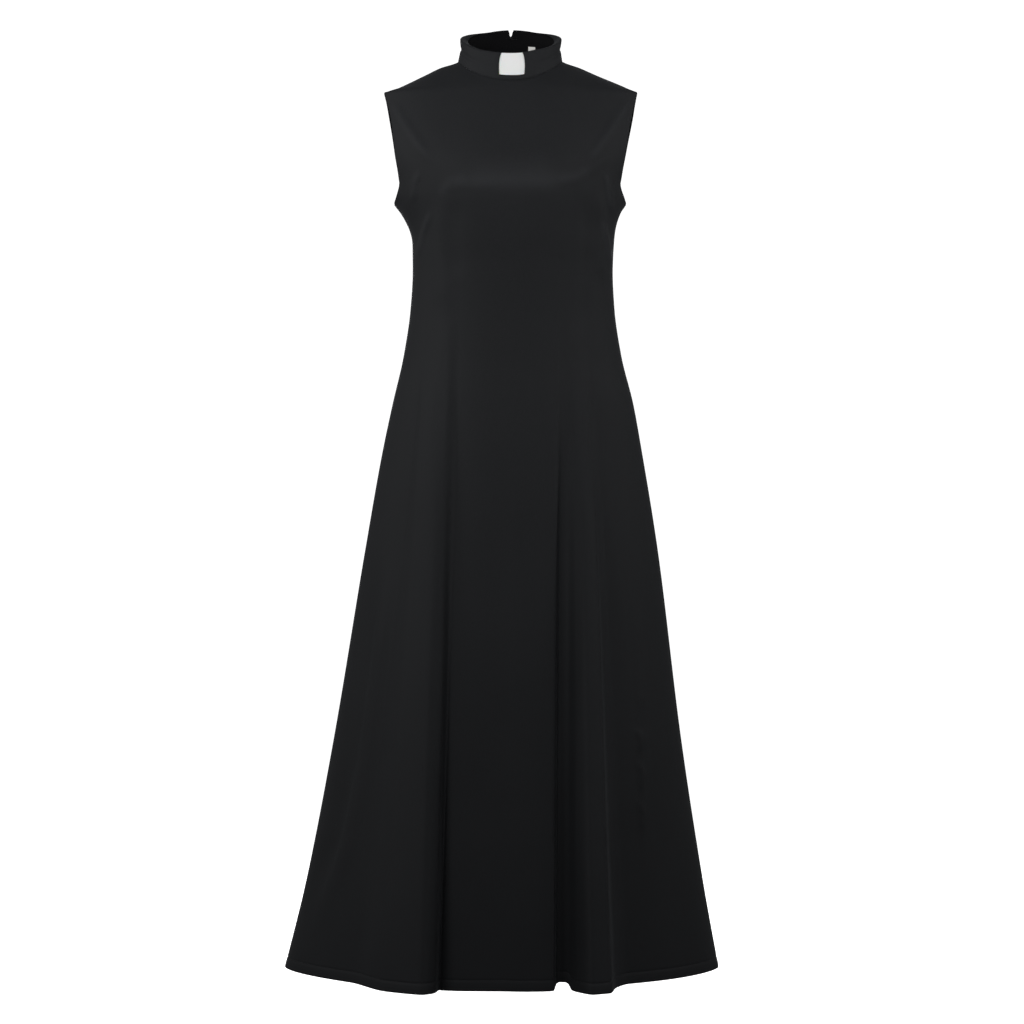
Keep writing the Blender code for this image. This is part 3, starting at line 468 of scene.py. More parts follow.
def wall_between(outer, inner, kept=True):
    """Points, faces and each point's place on the cloth, of the wall between two grids.

    kept marks the cells of the grids that are cloth.
    """
    rows, columns = outer.shape[:2]
    r, c = np.nonzero(np.broadcast_to(kept, (rows - 1, columns - 1)))
    corner = r * columns + c
    front = np.stack([corner, corner + 1, corner + 1 + columns, corner + columns], -1)
    shift = rows * columns
    edges = {}
    for face in front.tolist():
        for i in range(4):
            a, b = face[i], face[(i + 1) % 4]
            if edges.pop((b, a), None) is None:
                edges[(a, b)] = True
    rim = [(b, a, a + shift, b + shift) for a, b in edges]
    faces = np.concatenate([front, front[:, ::-1] + shift, np.array(rim)])
    flat = np.stack([along_from_start(outer, 1), along_from_start(outer, 0)], -1)
    points = np.concatenate([outer.reshape(-1, 3), inner.reshape(-1, 3)])
    places = np.concatenate([flat.reshape(-1, 2)] * 2)
    used, index = np.unique(faces, return_inverse=True)
    points, faces = points[used], index.reshape(-1, 4)
    near, far = points[faces[: len(front)]], points[faces[len(front) : 2 * len(front)]]
    facing = np.cross(near[:, 1] - near[:, 0], near[:, 2] - near[:, 0])
    if np.sum(facing * (near.mean(1) - far.mean(1))) < 0:
        faces = faces[:, ::-1]
    return points, faces, places[used]


def linear(code):
    """The linear colour of an sRGB hex value."""
    channels = [int(code[i : i + 2], 16) / 255 for i in (1, 3, 5)]
    return [c / 12.92 if c <= 0.04045 else ((c + 0.055) / 1.055) ** 2.4 for c in channels] + [1.0]


def add_node(tree, kind, settings=None, inputs=None):
    """Adds a node. Each input gets a value, or a link from another node's output."""
    made = tree.nodes.new(kind)
    for name, value in (settings or {}).items():
        setattr(made, name, value)
    for name, value in (inputs or {}).items():
        if isinstance(value, bpy.types.NodeSocket):
            tree.links.new(value, made.inputs[name])
        else:
            made.inputs[name].default_value = value
    return made


# Crepe jersey: polyester and elastane, knitted on a fine gauge from high-twist yarn. The twist
# gives it a fine pebble and a soft, dull sheen, and the knit gives it faint upright wales.
WALE_SPACING = 0.0026  # a real one is 0.6 mm, too fine to show, so it is drawn coarser
WAVE_REPEAT = 0.314  # metres between the bands of a wave texture whose scale is 1
PEBBLE = 0.0016  # drawn about twice as coarse as the real one, for the same reason
CLOUD_SCALE = 14.0  # slow changes of tone and dullness, about 70 mm across
PAINTED_HIGHLIGHT_GAIN = 1.60  # how much paler the colour is painted at the strongest painted highlight
crepe_jersey = bpy.data.materials.new("crepe_jersey")
crepe_jersey.use_nodes = True
tree = crepe_jersey.node_tree
tree.nodes.clear()
cloth_place = add_node(tree, "ShaderNodeUVMap", {"uv_map": "cloth"})
wales = add_node(
    tree, "ShaderNodeTexWave", {"bands_direction": "X"},
    {"Vector": cloth_place.outputs["UV"], "Scale": WAVE_REPEAT / WALE_SPACING, "Distortion": 1.2,
     "Detail": 1.0, "Detail Scale": 0.02},
)
here = add_node(tree, "ShaderNodeTexCoord").outputs["Object"]
pebble = add_node(tree, "ShaderNodeTexNoise", {}, {"Vector": here, "Scale": 1 / PEBBLE})
cloud = add_node(
    tree, "ShaderNodeTexNoise", {}, {"Vector": here, "Scale": CLOUD_SCALE, "Detail": 3.0}
)
relief = add_node(
    tree, "ShaderNodeMix", {"data_type": "FLOAT"},
    {"Factor": 0.55, "A": wales.outputs["Fac"], "B": pebble.outputs["Fac"]},
)
bump = add_node(
    tree, "ShaderNodeBump", {},
    {"Height": relief.outputs["Result"], "Strength": 0.22, "Distance": 0.0004},
)
shade = add_node(
    tree, "ShaderNodeMix", {"data_type": "RGBA"},
    {"Factor": cloud.outputs["Fac"], "A": linear("#1a1b1d"), "B": linear("#1f2022")},
)
# Painted highlight: the colour is scaled up where the front panel's attribute marks a highlight.
painted_highlight = add_node(tree, "ShaderNodeAttribute", {"attribute_name": "painted_highlight"})
highlight_gain = add_node(
    tree, "ShaderNodeMapRange", {},
    {"Value": painted_highlight.outputs["Fac"], "To Min": 1.0, "To Max": PAINTED_HIGHLIGHT_GAIN},
)
tone = add_node(
    tree, "ShaderNodeVectorMath", {"operation": "SCALE"},
    {"Vector": shade.outputs["Result"], "Scale": highlight_gain.outputs["Result"]},
)
dull = add_node(
    tree, "ShaderNodeMapRange", {},
    {"Value": cloud.outputs["Fac"], "To Min": 0.62, "To Max": 0.74},
)
surface = add_node(
    tree, "ShaderNodeBsdfPrincipled", {},
    {"Base Color": tone.outputs["Vector"], "Roughness": dull.outputs["Result"],
     "Specular IOR Level": 0.12, "Sheen Weight": 0.10, "Sheen Roughness": 0.30,
     "Sheen Tint": linear("#c8ccd2"), "Normal": bump.outputs["Normal"]},
)
add_node(tree, "ShaderNodeOutputMaterial", {}, {"Surface": surface.outputs["BSDF"]})


def add_object(name, data):
    """Adds an object to the scene."""
    made = bpy.data.objects.new(name, data)
    bpy.context.scene.collection.objects.link(made)
    return made


def add_piece(name, finish, slot, points, faces, places=None):
    """Adds a smooth mesh piece to the dress. places are its points on the flat cloth."""
    mesh = bpy.data.meshes.new(name)
    mesh.from_pydata(np.asarray(points, float).tolist(), [], [list(map(int, f)) for f in faces])
    mesh.shade_smooth()
    if places is not None:
        corner_point = np.empty(len(mesh.loops), np.int32)
        mesh.loops.foreach_get("vertex_index", corner_point)
        mesh.uv_layers.new(name="cloth").data.foreach_set("uv", places[corner_point].ravel())
    mesh.materials.append(finish)
    piece = add_object(name, mesh)
    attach(piece, "dress")
    return piece


TURNED_EDGE = 0.00045
SHARP = math.radians(55)


def round_edges(piece, width):
    """Rounds a piece's sharp edges, such as the rim of a wall of cloth."""
    edge = piece.modifiers.new("edge", "BEVEL")
    edge.width = width
    edge.segments = 2
    edge.limit_method = "ANGLE"
    edge.angle_limit = SHARP


SEAM_HOLDS = 0.012  # a seam or a turned edge holds the cloth beside it this far from creasing


def add_panel(name, grid, side, creases, seed):
    """One panel of the dress, from its outer face: creased, sewn at its edges and hemmed."""
    grid = closer_at_edges(grid)
    normals = facing_out(grid, side)
    beside = len(EDGE_CELL) + 1  # at an armhole these columns are too close for a sure direction
    yoke_normals = normals[len(row_heights) :]
    yoke_normals[:, :beside] = yoke_normals[:, beside, None]
    yoke_normals[:, -beside:] = yoke_normals[:, -beside - 1, None]
    seen = grid[..., (0, 2)]
    free = 1 - sum(hump(distance, SEAM_HOLDS) for distance in from_edges(grid))
    soft = undulation(seen, seed) + sum(crease(seen, *drawn) for drawn in creases)
    relief = seam_and_hem_relief(grid) + soft * np.clip(free, 0, 1)
    outer = grid + normals * relief[..., None]
    outer = np.where(grid == 0, 0, outer)  # a seam's edge stays in the seam's plane
    inner = np.where(grid == 0, 0, outer - normals * WALL)
    panel = add_piece(name, crepe_jersey, "jersey", *wall_between(outer, inner))
    round_edges(panel, TURNED_EDGE)
    return panel, outer, normals


front_panel, front_face, front_normals = add_panel(
    "front_panel", panel_grid("front", FRONT_FOLDS), "front", FRONT_CREASES, 3
)
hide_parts("front")

# A painted highlight: the jersey's colour is painted paler along these (x, z) lines, each with a
# strength and a half width: from one bust point to the other, along the drags, and at the marks
# below the underarms.
STRONGEST_PAINTED_HIGHLIGHT = 1.2
PAINTED_HIGHLIGHT_LINES = (
    (((-0.104, -0.212), (-0.097, -0.194), (-0.088, -0.184), (-0.060, -0.183)), 0.45, 0.0070),
    (((-0.094, -0.185), (-0.040, -0.1870), (0.045, -0.1870), (0.095, -0.1790)), 0.70, 0.0120),
    (((-0.070, -0.172), (0.000, -0.175), (0.070, -0.170)), 0.40, 0.0190),
    (((0.060, -0.184), (0.095, -0.178), (0.115, -0.163)), 0.40, 0.0070),
    (RIGHT_DRAG, 0.35, 0.0055),
    (LEFT_DRAG, 0.40, 0.0050),
    (SIDE_MARKS[0], 0.45, 0.0030),
    (SIDE_MARKS[1], 0.60, 0.0030),
    (SIDE_MARKS[2], 0.60, 0.0035),
    (SIDE_MARKS[3], 0.45, 0.0035),
)
points = np.array([corner.co[:] for corner in front_panel.data.vertices])
painted_highlight_amount = sum(crease(points[:, (0, 2)], *drawn) for drawn in PAINTED_HIGHLIGHT_LINES)
painted_highlight_layer = front_panel.data.attributes.new("painted_highlight", "FLOAT", "POINT")
painted_highlight_layer.data.foreach_set("value", np.clip(painted_highlight_amount, 0, STRONGEST_PAINTED_HIGHLIGHT))


# Hem stitching: one row of lockstitch in black polyester thread, 15 mm above the hem's edge,
# that holds the turned-up cloth. Each stitch sinks a little into the jersey.
STITCH_LENGTH, STITCH_GAP, THREAD, STITCH_SUNK = 0.0028, 0.0007, 0.00028, 0.00005
FULL_FROM, FULL_TO = 0.22, 0.78  # the share of a stitch between which the thread is full


def textured_finish(name, pattern, settings, inputs, bump, surface_inputs):
    """A material with one pattern as its relief. bump is the relief's strength and distance."""
    finish = bpy.data.materials.new(name)
    finish.use_nodes = True
    tree = finish.node_tree
    tree.nodes.clear()
    here = add_node(tree, "ShaderNodeTexCoord").outputs["Object"]
    relief = add_node(tree, pattern, settings, {"Vector": here, **inputs}).outputs["Fac"]
    normal = add_node(
        tree, "ShaderNodeBump", {}, {"Height": relief, "Strength": bump[0], "Distance": bump[1]}
    ).outputs["Normal"]
    surface = add_node(tree, "ShaderNodeBsdfPrincipled", {}, {**surface_inputs, "Normal": normal})
    add_node(tree, "ShaderNodeOutputMaterial", {}, {"Surface": surface.outputs["BSDF"]})
    return finish


# Spun polyester thread: dull, with a faint twist that repeats every 0.35 mm.
spun_thread = textured_finish(
    "spun_polyester_thread", "ShaderNodeTexWave", {"bands_direction": "DIAGONAL"},
    {"Scale": 900.0}, (0.3, 0.0001),
    {"Base Color": linear("#202124"), "Roughness": 0.55, "Specular IOR Level": 0.4},
)


def stitch_row(line, normals):
    """Points and faces of a row of stitches along a line that lies on cloth."""
    along = lengths_along(line)
    starts = np.arange(STITCH_GAP, along[-1] - STITCH_LENGTH, STITCH_LENGTH + STITCH_GAP)
    points, faces = [], []
    for start in starts:
        ends = points_at(np.array([start, start + STITCH_LENGTH]), along, line)
        out = unit(points_at(start, along, normals))
        beside = np.cross(unit(ends[1] - ends[0]), out)
        base = len(points)
        points.append(ends[0] - out * THREAD)
        for share in (FULL_FROM, FULL_TO):
            middle = ends[0] + (ends[1] - ends[0]) * share - out * STITCH_SUNK
            for turn in np.radians((45, 135, 225, 315)):
                points.append(middle + THREAD * (beside * math.cos(turn) + out * math.sin(turn)))
        points.append(ends[1] - out * THREAD)
        for i in range(4):
            j = (i + 1) % 4
            faces.append((base, base + 1 + j, base + 1 + i))
            faces.append((base + 1 + i, base + 1 + j, base + 5 + j, base + 5 + i))
            faces.append((base + 9, base + 5 + i, base + 5 + j))
    return points, faces


stitch_level = int(np.argmin(np.abs(row_heights - (HEM_HEIGHT + HEM_TURNED))))
stitches = stitch_row(front_face[stitch_level], front_normals[stitch_level])
front_hem_stitches = add_piece("front_hem_stitches", spun_thread, "jersey", *stitches)


# The back is two panels of the same crepe jersey, sewn together down the centre back, where
# the zip is let in, and sewn to the front at the sides and shoulders.
BACK_FOLDS = (
    (-SIDE, -SIDE, -0.40, 0.0000, 4),  # right side seam
    (-0.1360, -0.2220, -0.58, 0.1180, 5),
    (-0.1130, -0.1660, -0.50, 0.1000, 4),
    (-0.0790, -0.1120, -0.46, 0.1720, 3),
    (-0.0400, -0.0520, -0.52, 0.1280, 3),
    (0.0000, 0.0000, -0.60, 0.1540, 3),  # centre back
    (0.0400, 0.0580, -0.50, 0.1220, 3),
    (0.0780, 0.1160, -0.46, 0.1760, 4),
    (0.1130, 0.1700, -0.52, 0.1050, 5),
    (0.1360, 0.2220, -0.60, 0.1130, 4),
    (SIDE, SIDE, -0.40, 0.0000, 0),  # left side seam
)
BACK_CREASES = (
    (((-0.170, -0.080), (-0.140, -0.120), (-0.110, -0.150)), 0.0016, 0.0090),
    (((0.168, -0.080), (0.140, -0.122), (0.108, -0.152)), 0.0016, 0.0090),
    (((-0.120, -0.280), (-0.060, -0.300), (-0.012, -0.306)), 0.0020, 0.0090),
    (((0.118, -0.282), (0.062, -0.302), (0.014, -0.310)), 0.0020, 0.0090),
    (((-0.110, -0.330), (-0.050, -0.342), (-0.014, -0.340)), 0.0016, 0.0080),
    (((0.112, -0.328), (0.050, -0.344), (0.014, -0.338)), 0.0016, 0.0080),
)
back_grid = panel_grid("back", BACK_FOLDS)
back_middle = back_grid.shape[1] // 2
for name, columns, edge, stitches_name, node in (
    ("back_panel_right", slice(None, back_middle + 1), -1, "back_right_hem_stitches", "back_right"),
    ("back_panel_left", slice(back_middle, None), 0, "back_left_hem_stitches", "back_left"),
):
    half = back_grid[:, columns].copy()
    half[:, edge, 0] = 0
    panel, face, normals = add_panel(name, half, "back", BACK_CREASES, 5)
    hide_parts(node)
    stitches = stitch_row(face[stitch_level], normals[stitch_level])
    hem_stitches = add_piece(stitches_name, spun_thread, "jersey", *stitches)


# The centre back zip is a concealed coil zip: a woven polyester tape on each side, a nylon
# coil sewn along each tape's edge, and an enamelled slider and pull below the collar.

def refinish(name, finish):
    """Gives a CAD node its finish."""
    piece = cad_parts[name]
    piece.data.materials.clear()
    piece.data.materials.append(finish)
    return piece


# Woven polyester: flat and dull, with a tight twill. Its lines are 1 mm apart, about twice as
# coarse as the real ones, so that they show.
polyester_tape = textured_finish(
    "woven_polyester_tape", "ShaderNodeTexWave", {"bands_direction": "DIAGONAL"},
    {"Scale": 300.0}, (0.3, 0.0002),
    {"Base Color": linear("#17181a"), "Roughness": 0.8, "Sheen Weight": 0.1},
)
zip_tape = refinish("zip_tape", polyester_tape)

nylon_coil = bpy.data.materials.new("nylon_coil")  # drawn nylon, smooth and a little glossy
nylon_coil.use_nodes = True
surface = nylon_coil.node_tree.nodes["Principled BSDF"]
surface.inputs["Base Color"].default_value = linear("#1a1b1d")
surface.inputs["Roughness"].default_value = 0.38

COIL_PITCH, COIL_WIDE, COIL_THICK, COIL_WIRE, COIL_APART = 0.0030, 0.0011, 0.0010, 0.0003, 0.0003
COIL_TURN_STEPS, WIRE_SIDES = 6, 4
ZIP_BOTTOM, TAPE_UNDER = -0.556, 0.0029  # the tape's inner face, under the panels' outer face

zipped = back_grid[:, back_middle, 2] > ZIP_BOTTOM
zip_line = back_grid[zipped, back_middle]
zip_normals = facing_out(back_grid, "back")[zipped, back_middle]
zip_line = zip_line - unit(zip_normals * (0, 1, 1)) * (TAPE_UNDER + COIL_THICK)


def wire(path, radius, sides):
    """Points and faces of a wire along a path of points."""
    up = np.array([0.0, 0.31, 0.95])  # any way that the wire doesn't run at its start
    points, faces = [], []
    for point, way in zip(path, unit(np.gradient(path, axis=0))):
        across = unit(np.cross(way, up))
        up = np.cross(way, across)
        for angle in np.linspace(0, 2 * math.pi, sides, endpoint=False):
            points.append(point + radius * (across * math.cos(angle) + up * math.sin(angle)))
    for r in range(len(path) - 1):
        for s in range(sides):
            a, b = r * sides + s, r * sides + (s + 1) % sides
            faces.append((a, a + sides, b + sides, b))
    last = (len(path) - 1) * sides
    faces.append(tuple(range(sides)))
    faces.append(tuple(range(last + sides - 1, last - 1, -1)))
    return points, faces


along = lengths_along(zip_line)
steps = np.arange(0, along[-1], COIL_PITCH / COIL_TURN_STEPS)
turn = steps / COIL_PITCH * 2 * math.pi
for name, way in (("zip_coil_right", -1), ("zip_coil_left", 1)):
    path = points_at(steps, along, zip_line)
    path[:, 0] += way * (COIL_WIDE + COIL_APART + COIL_WIDE * np.cos(turn))
    path[:, 1] += COIL_THICK / 2 * np.sin(turn)
    add_piece(name, nylon_coil, "zip_tape", *wire(path, COIL_WIRE, WIRE_SIDES))

# Enamel baked on die-cast zinc: smooth and glossy, with a faint orange peel 0.7 mm across.
black_enamel = textured_finish(
    "black_enamel", "ShaderNodeTexNoise", {}, {"Scale": 1400.0}, (0.08, 0.0001),
    {"Base Color": linear("#16171a"), "Roughness": 0.28, "Coat Weight": 0.4,
     "Coat Roughness": 0.15},
)
CAST_EDGE, WELD_WITHIN = 0.00018, 0.00001


def enamel(name):
    """Gives a CAD node its enamel, with its faces joined so that it can be rounded."""
    piece = refinish(name, black_enamel)
    piece.modifiers.new("weld", "WELD").merge_threshold = WELD_WITHIN
    return piece


for name in ("zip_slider", "zip_pull"):
    round_edges(enamel(name), CAST_EDGE)


# The stand collar is two strips of the same jersey, sewn together round the top edge and into
# the neckline. The outer one is cut away in front as the tab's window. Its sides roll in, and
# it closes at the centre back in a small V.
COLLAR_LEFT, COLLAR_RIGHT, COLLAR_BACK, COLLAR_FRONT = 0.0728, 0.0755, 0.0500, 0.0665
COLLAR_TOP_HEIGHT, COLLAR_TOP_SLOPE, COLLAR_TOP_BEND = 0.0355, 0.42, 0.85
# The top edge rises beside the tab, on either hand of it, and again at the sides.
RISE_RIGHT, RISE_LEFT, RISE_PLACE, RISE_WIDE = 0.0014, 0.0032, 0.52, 0.24
SIDE_RISE, SIDE_RISE_WIDE = 0.0052, 0.35
# At the sides the collar is drawn in at half its height, and its top rolls in and curls down.
COLLAR_WAIST, COLLAR_ROLL, COLLAR_CURL, COLLAR_ROLL_START = 0.0020, 0.0115, 0.0100, 0.80
COLLAR_LAYER, CLEARANCE, TAB_THICK = 0.0011, 0.0003, 0.0008
PARTED = COLLAR_LAYER + CLEARANCE + TAB_THICK + CLEARANCE
COLLAR_WALL = PARTED + COLLAR_LAYER
# The window's half width at its top, middle and sill, and how far its sill is above the seam.
WINDOW_TOP, WINDOW_MIDDLE, WINDOW_SILL, WINDOW_SILL_TALL = 0.0159, 0.0187, 0.0172, 0.0062
BESIDE_WINDOW, WINDOW_COLUMNS, CHANNEL_PAST_WINDOW = 15 * FINE, 6 * FINE, 3 * FINE
# Half the V's width at a depth below the top edge. Below 0 the two ends overlap.
NOTCH_HALF_GAP = smooth_through(
    (0.0000, 0.0045, 0.0083, 0.0097, 0.0600),
    (0.0048, 0.0025, 0.0013, -0.0003, -0.0003),
)
NOTCH_LEAN = -0.0025  # how far the V's top is from the middle
OPEN_COLUMNS = 4  # the columns on each side that give way to the V
COLLAR_ROWS = 28
NEARBY = 0.001  # a small step, for the way that the collar faces


def collar_points(angle, share):
    """Points of the collar's outer face, at an angle round the neck and a share of its height."""
    c, s = np.cos(angle), np.sin(angle)
    foot = neckline(angle)
    x, y = oval(angle, COLLAR_LEFT, COLLAR_RIGHT, COLLAR_BACK, COLLAR_FRONT)
    top = np.stack([x, y, COLLAR_TOP_HEIGHT + COLLAR_TOP_SLOPE * y - COLLAR_TOP_BEND * y * y], -1)
    rise = np.where(c > 0, RISE_LEFT, RISE_RIGHT) * hump(np.abs(c) - RISE_PLACE, RISE_WIDE)
    top[..., 2] += rise * (s < 0) + SIDE_RISE * hump(np.abs(c) - 1, SIDE_RISE_WIDE)
    point = foot + (top - foot) * share[..., None]
    rolled = np.maximum(share - COLLAR_ROLL_START, 0) / (1 - COLLAR_ROLL_START)
    drawn_in = COLLAR_WAIST * np.sin(math.pi * share) + COLLAR_ROLL * rolled * rolled
    point[..., 0] -= c * np.abs(c) * drawn_in
    point[..., 2] -= c * c * COLLAR_CURL * rolled * rolled
    return point


def collar_facing(angle, share):
    """The way that the collar faces there, and its height."""
    along = collar_points(angle + NEARBY, share) - collar_points(angle - NEARBY, share)
    up = collar_points(angle, share + NEARBY) - collar_points(angle, share - NEARBY)
    facing = np.cross(along, up)
    facing[..., 0] = np.where(np.abs(np.cos(angle)) < NEARBY, 0, facing[..., 0])
    return unit(facing), np.linalg.norm(up, axis=-1) / (2 * NEARBY)


def front_angle(across):
    """The angle of the collar's point in front at a distance from the middle."""
    return 1.5 * math.pi + math.asin(across / (COLLAR_LEFT if across > 0 else COLLAR_RIGHT))


def collar_angles(share):
    """Angles from centre back round to centre back, with a column up each side of the window."""
    end = WINDOW_SILL if share < 0.5 else WINDOW_TOP
    half = end + (WINDOW_MIDDLE - end) * math.sin(math.pi * share)
    right, left = front_angle(-half), front_angle(half)
    return np.concatenate([
        np.linspace(math.pi / 2, right, BESIDE_WINDOW + 1),
        np.linspace(right, left, WINDOW_COLUMNS + 1)[1:-1],
        np.linspace(left, 2.5 * math.pi, BESIDE_WINDOW + 1),
    ])


# The rows, as shares of the collar's height: evenly spaced with one at the window's sill, and
# closer at both edges. The foot reaches a little below the neckline, so that no light shows.
sill_share = WINDOW_SILL_TALL / float(collar_facing(np.array(1.5 * math.pi), np.array(0.5))[1])
even_shares = np.linspace(0, 1, COLLAR_ROWS + 1)[1:-1]
even_shares[np.argmin(np.abs(even_shares - sill_share))] = sill_share
collar_shares = np.concatenate([[-0.020, 0, 0.020], even_shares, [0.97, 0.985, 1.0]])
collar_angle = np.array([collar_angles(share) for share in collar_shares])
collar_tall = collar_facing(collar_angle, np.full(collar_angle.shape, 0.5))[1]


def collar_face(inset, low=0.0, high=0.0):
    """A grid of points right round the collar, inset from its outer face."""
    share = (low + collar_shares[:, None] * (collar_tall - low - high)) / collar_tall
    facing, _ = collar_facing(collar_angle, share)
    return collar_points(collar_angle, share) - facing * (inset * np.ones_like(share))[..., None]


def collar_wall(outer_inset, inner_inset, kept=True):
    """A layer of the collar between two insets, whose ends part at the centre back."""
    grids = []
    for inset in (outer_inset, inner_inset):
        face = collar_face(inset)
        gap = NOTCH_HALF_GAP(face[-1, 0, 2] - face[:, 0, 2])
        lean = NOTCH_LEAN * collar_shares
        face[:, 0, 0], face[:, -1, 0] = lean - gap, lean + gap
        for i in range(1, OPEN_COLUMNS):
            share = 1 - i / OPEN_COLUMNS
            face[:, i, 0] = np.minimum(face[:, i, 0], (lean - gap) * share)
            face[:, -1 - i, 0] = np.maximum(face[:, -1 - i, 0], (lean + gap) * share)
        grids.append(face)
    return wall_between(*grids, kept)


# The top edge's roll is puffy at the sides, with a groove under it. The rest is the relief at
# the top edge, at the seam below, and beside the window, whose last two numbers are columns.
ROLL_PUFF = ((0.0008, 0.0100, 0.0065), (-0.0016, 0.0222, 0.0030))
TOP_EDGE, LINING_EDGE = ((-0.0006, 0, 0.0009),), ((0.0005, 0, 0.0010),)
NECK_SEAM, WINDOW_EDGE = ((-0.0005, 0, 0.0012),), ((0.0003, 1.0, 1.2),)
COLLAR_EDGE = 0.0004

below_top = (1 - collar_shares[:, None]) * collar_tall
column = np.arange(collar_angle.shape[1])
past_window = np.maximum(BESIDE_WINDOW - column, column - BESIDE_WINDOW - WINDOW_COLUMNS)
outer_relief = (
    relief_beside(below_top, ROLL_PUFF) * np.cos(collar_angle) ** 2
    + relief_beside(below_top, TOP_EDGE)
    + relief_beside(below_top[:1] - below_top, NECK_SEAM)
    + relief_beside(past_window, WINDOW_EDGE) * (below_top > 0)
)
in_window = (past_window[:-1] <= 0) & (past_window[1:] <= 0)
kept = ~(in_window & (collar_shares[:-1, None] >= sill_share))
wall = collar_wall(-outer_relief, COLLAR_LAYER, kept)
collar_outer_layer = add_piece("collar_outer_layer", crepe_jersey, "jersey", *wall)
round_edges(collar_outer_layer, COLLAR_EDGE)
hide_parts("collar_outer")

# A darker copy of the same jersey for the collar's inner layer: painted shade, for the shade inside
# the collar. It is nearly black, with less specular and sheen, so it is flatter too.
painted_shade_jersey = crepe_jersey.copy()
painted_shade_jersey.name = "painted_shade_jersey"
for made in painted_shade_jersey.node_tree.nodes:
    if made.bl_idname == "ShaderNodeMix" and made.data_type == "RGBA":
        made.inputs["A"].default_value = linear("#0a0a0b")
        made.inputs["B"].default_value = linear("#0e0e10")
    if made.bl_idname == "ShaderNodeBsdfPrincipled":
        made.inputs["Specular IOR Level"].default_value = 0.05
        made.inputs["Sheen Weight"].default_value = 0.01

in_channel = past_window <= CHANNEL_PAST_WINDOW
inner_inset = np.where(in_channel, PARTED, COLLAR_LAYER + CLEARANCE)
lining_inset = COLLAR_WALL - relief_beside(below_top, LINING_EDGE)
wall = collar_wall(inner_inset, lining_inset)
collar_inner_layer = add_piece("collar_inner_layer", painted_shade_jersey, "jersey", *wall)
round_edges(collar_inner_layer, COLLAR_EDGE)
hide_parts("collar_inner")


# The tab is a strip cut from smooth white plastic sheet, 0.8 mm thick. It slips into the
# channel between the collar's layers, and shows in the window. Its cut edges catch the light.
TAB_ABOVE_SEAM, TAB_BELOW_TOP, TAB_PAST_WINDOW, CUT_EDGE = 0.0027, 0.0004, 2 * FINE, 0.0002

# Calendered polypropylene: dense and satin, with slow waves 8 mm across from the rollers.
white_plastic = textured_finish(
    "white_polypropylene", "ShaderNodeTexNoise", {}, {"Scale": 120.0, "Detail": 3.0},
    (0.05, 0.0003),
    {"Base Color": linear("#e4e5e4"), "Roughness": 0.42, "Subsurface Weight": 0.12,
     "Subsurface Scale": 0.001},
)
tab_faces = [
    collar_face(inset, TAB_ABOVE_SEAM, TAB_BELOW_TOP)[:, past_window <= TAB_PAST_WINDOW]
    for inset in (COLLAR_LAYER + CLEARANCE, COLLAR_LAYER + CLEARANCE + TAB_THICK)
]
points, faces, _ = wall_between(*tab_faces)
tab_strip = add_piece("tab_strip", white_plastic, "tab", points, faces)
round_edges(tab_strip, CUT_EDGE)
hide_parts("tab")


# The size label is a bare piece of white satin ribbon, flat against the inside of the collar
# beside the zip, and caught at its corners with a few stitches.
LABEL_ACROSS, LABEL_HALF_WIDE, LABEL_THICK, LABEL_EDGE = 0.0307, 0.0054, 0.0005, 0.00012
LABEL_LOW_SHARE, LABEL_HIGH_SHARE, LABEL_CELLS = 0.08, 0.40, 12

# Polyester satin: its floats give it a soft gloss along the weave. They are 0.6 mm apart, about
# three times as coarse as the real ones, so that they show.
satin_ribbon = textured_finish(
    "white_satin_ribbon", "ShaderNodeTexWave", {"bands_direction": "Z"},
    {"Scale": 500.0}, (0.2, 0.0001),
    {"Base Color": linear("#e6e5e1"), "Roughness": 0.35, "Sheen Weight": 0.2, "Anisotropic": 0.5},
)
across = LABEL_ACROSS + np.linspace(-LABEL_HALF_WIDE, LABEL_HALF_WIDE, LABEL_CELLS + 1)
angle, share = np.meshgrid(
    math.pi / 2 - np.arcsin(across / COLLAR_LEFT),
    np.linspace(LABEL_LOW_SHARE, LABEL_HIGH_SHARE, LABEL_CELLS + 1),
)
facing, _ = collar_facing(angle, share)
under = collar_points(angle, share) - facing * (COLLAR_WALL + CLEARANCE)
ribbon = wall_between(under, under - facing * LABEL_THICK)
size_label = add_piece("size_label", satin_ribbon, "label", *ribbon)
round_edges(size_label, LABEL_EDGE)
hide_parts("neck_label")


# The hook and eye are bent from enamelled steel wire, and sewn to the two ends of the collar,
# on its inside at the foot of the V.
for name in ("hook", "eye"):
    smoothed = enamel(name).modifiers.new("round", "SUBSURF")
    smoothed.levels = smoothed.render_levels = 2


# The studio: a white paper cove round the dress, three softboxes in front of it and one behind
# it, a strip light at each side, and a camera level with its thighs.
FLOOR_HEIGHT, FLOOR_REACH, COVE, WALL_TOP = -1.43, 6.5, 1.4, 7.0
MIDDLE_HOLE, COVE_STEPS, SWEEP_SIDES = 0.02, 12, 96

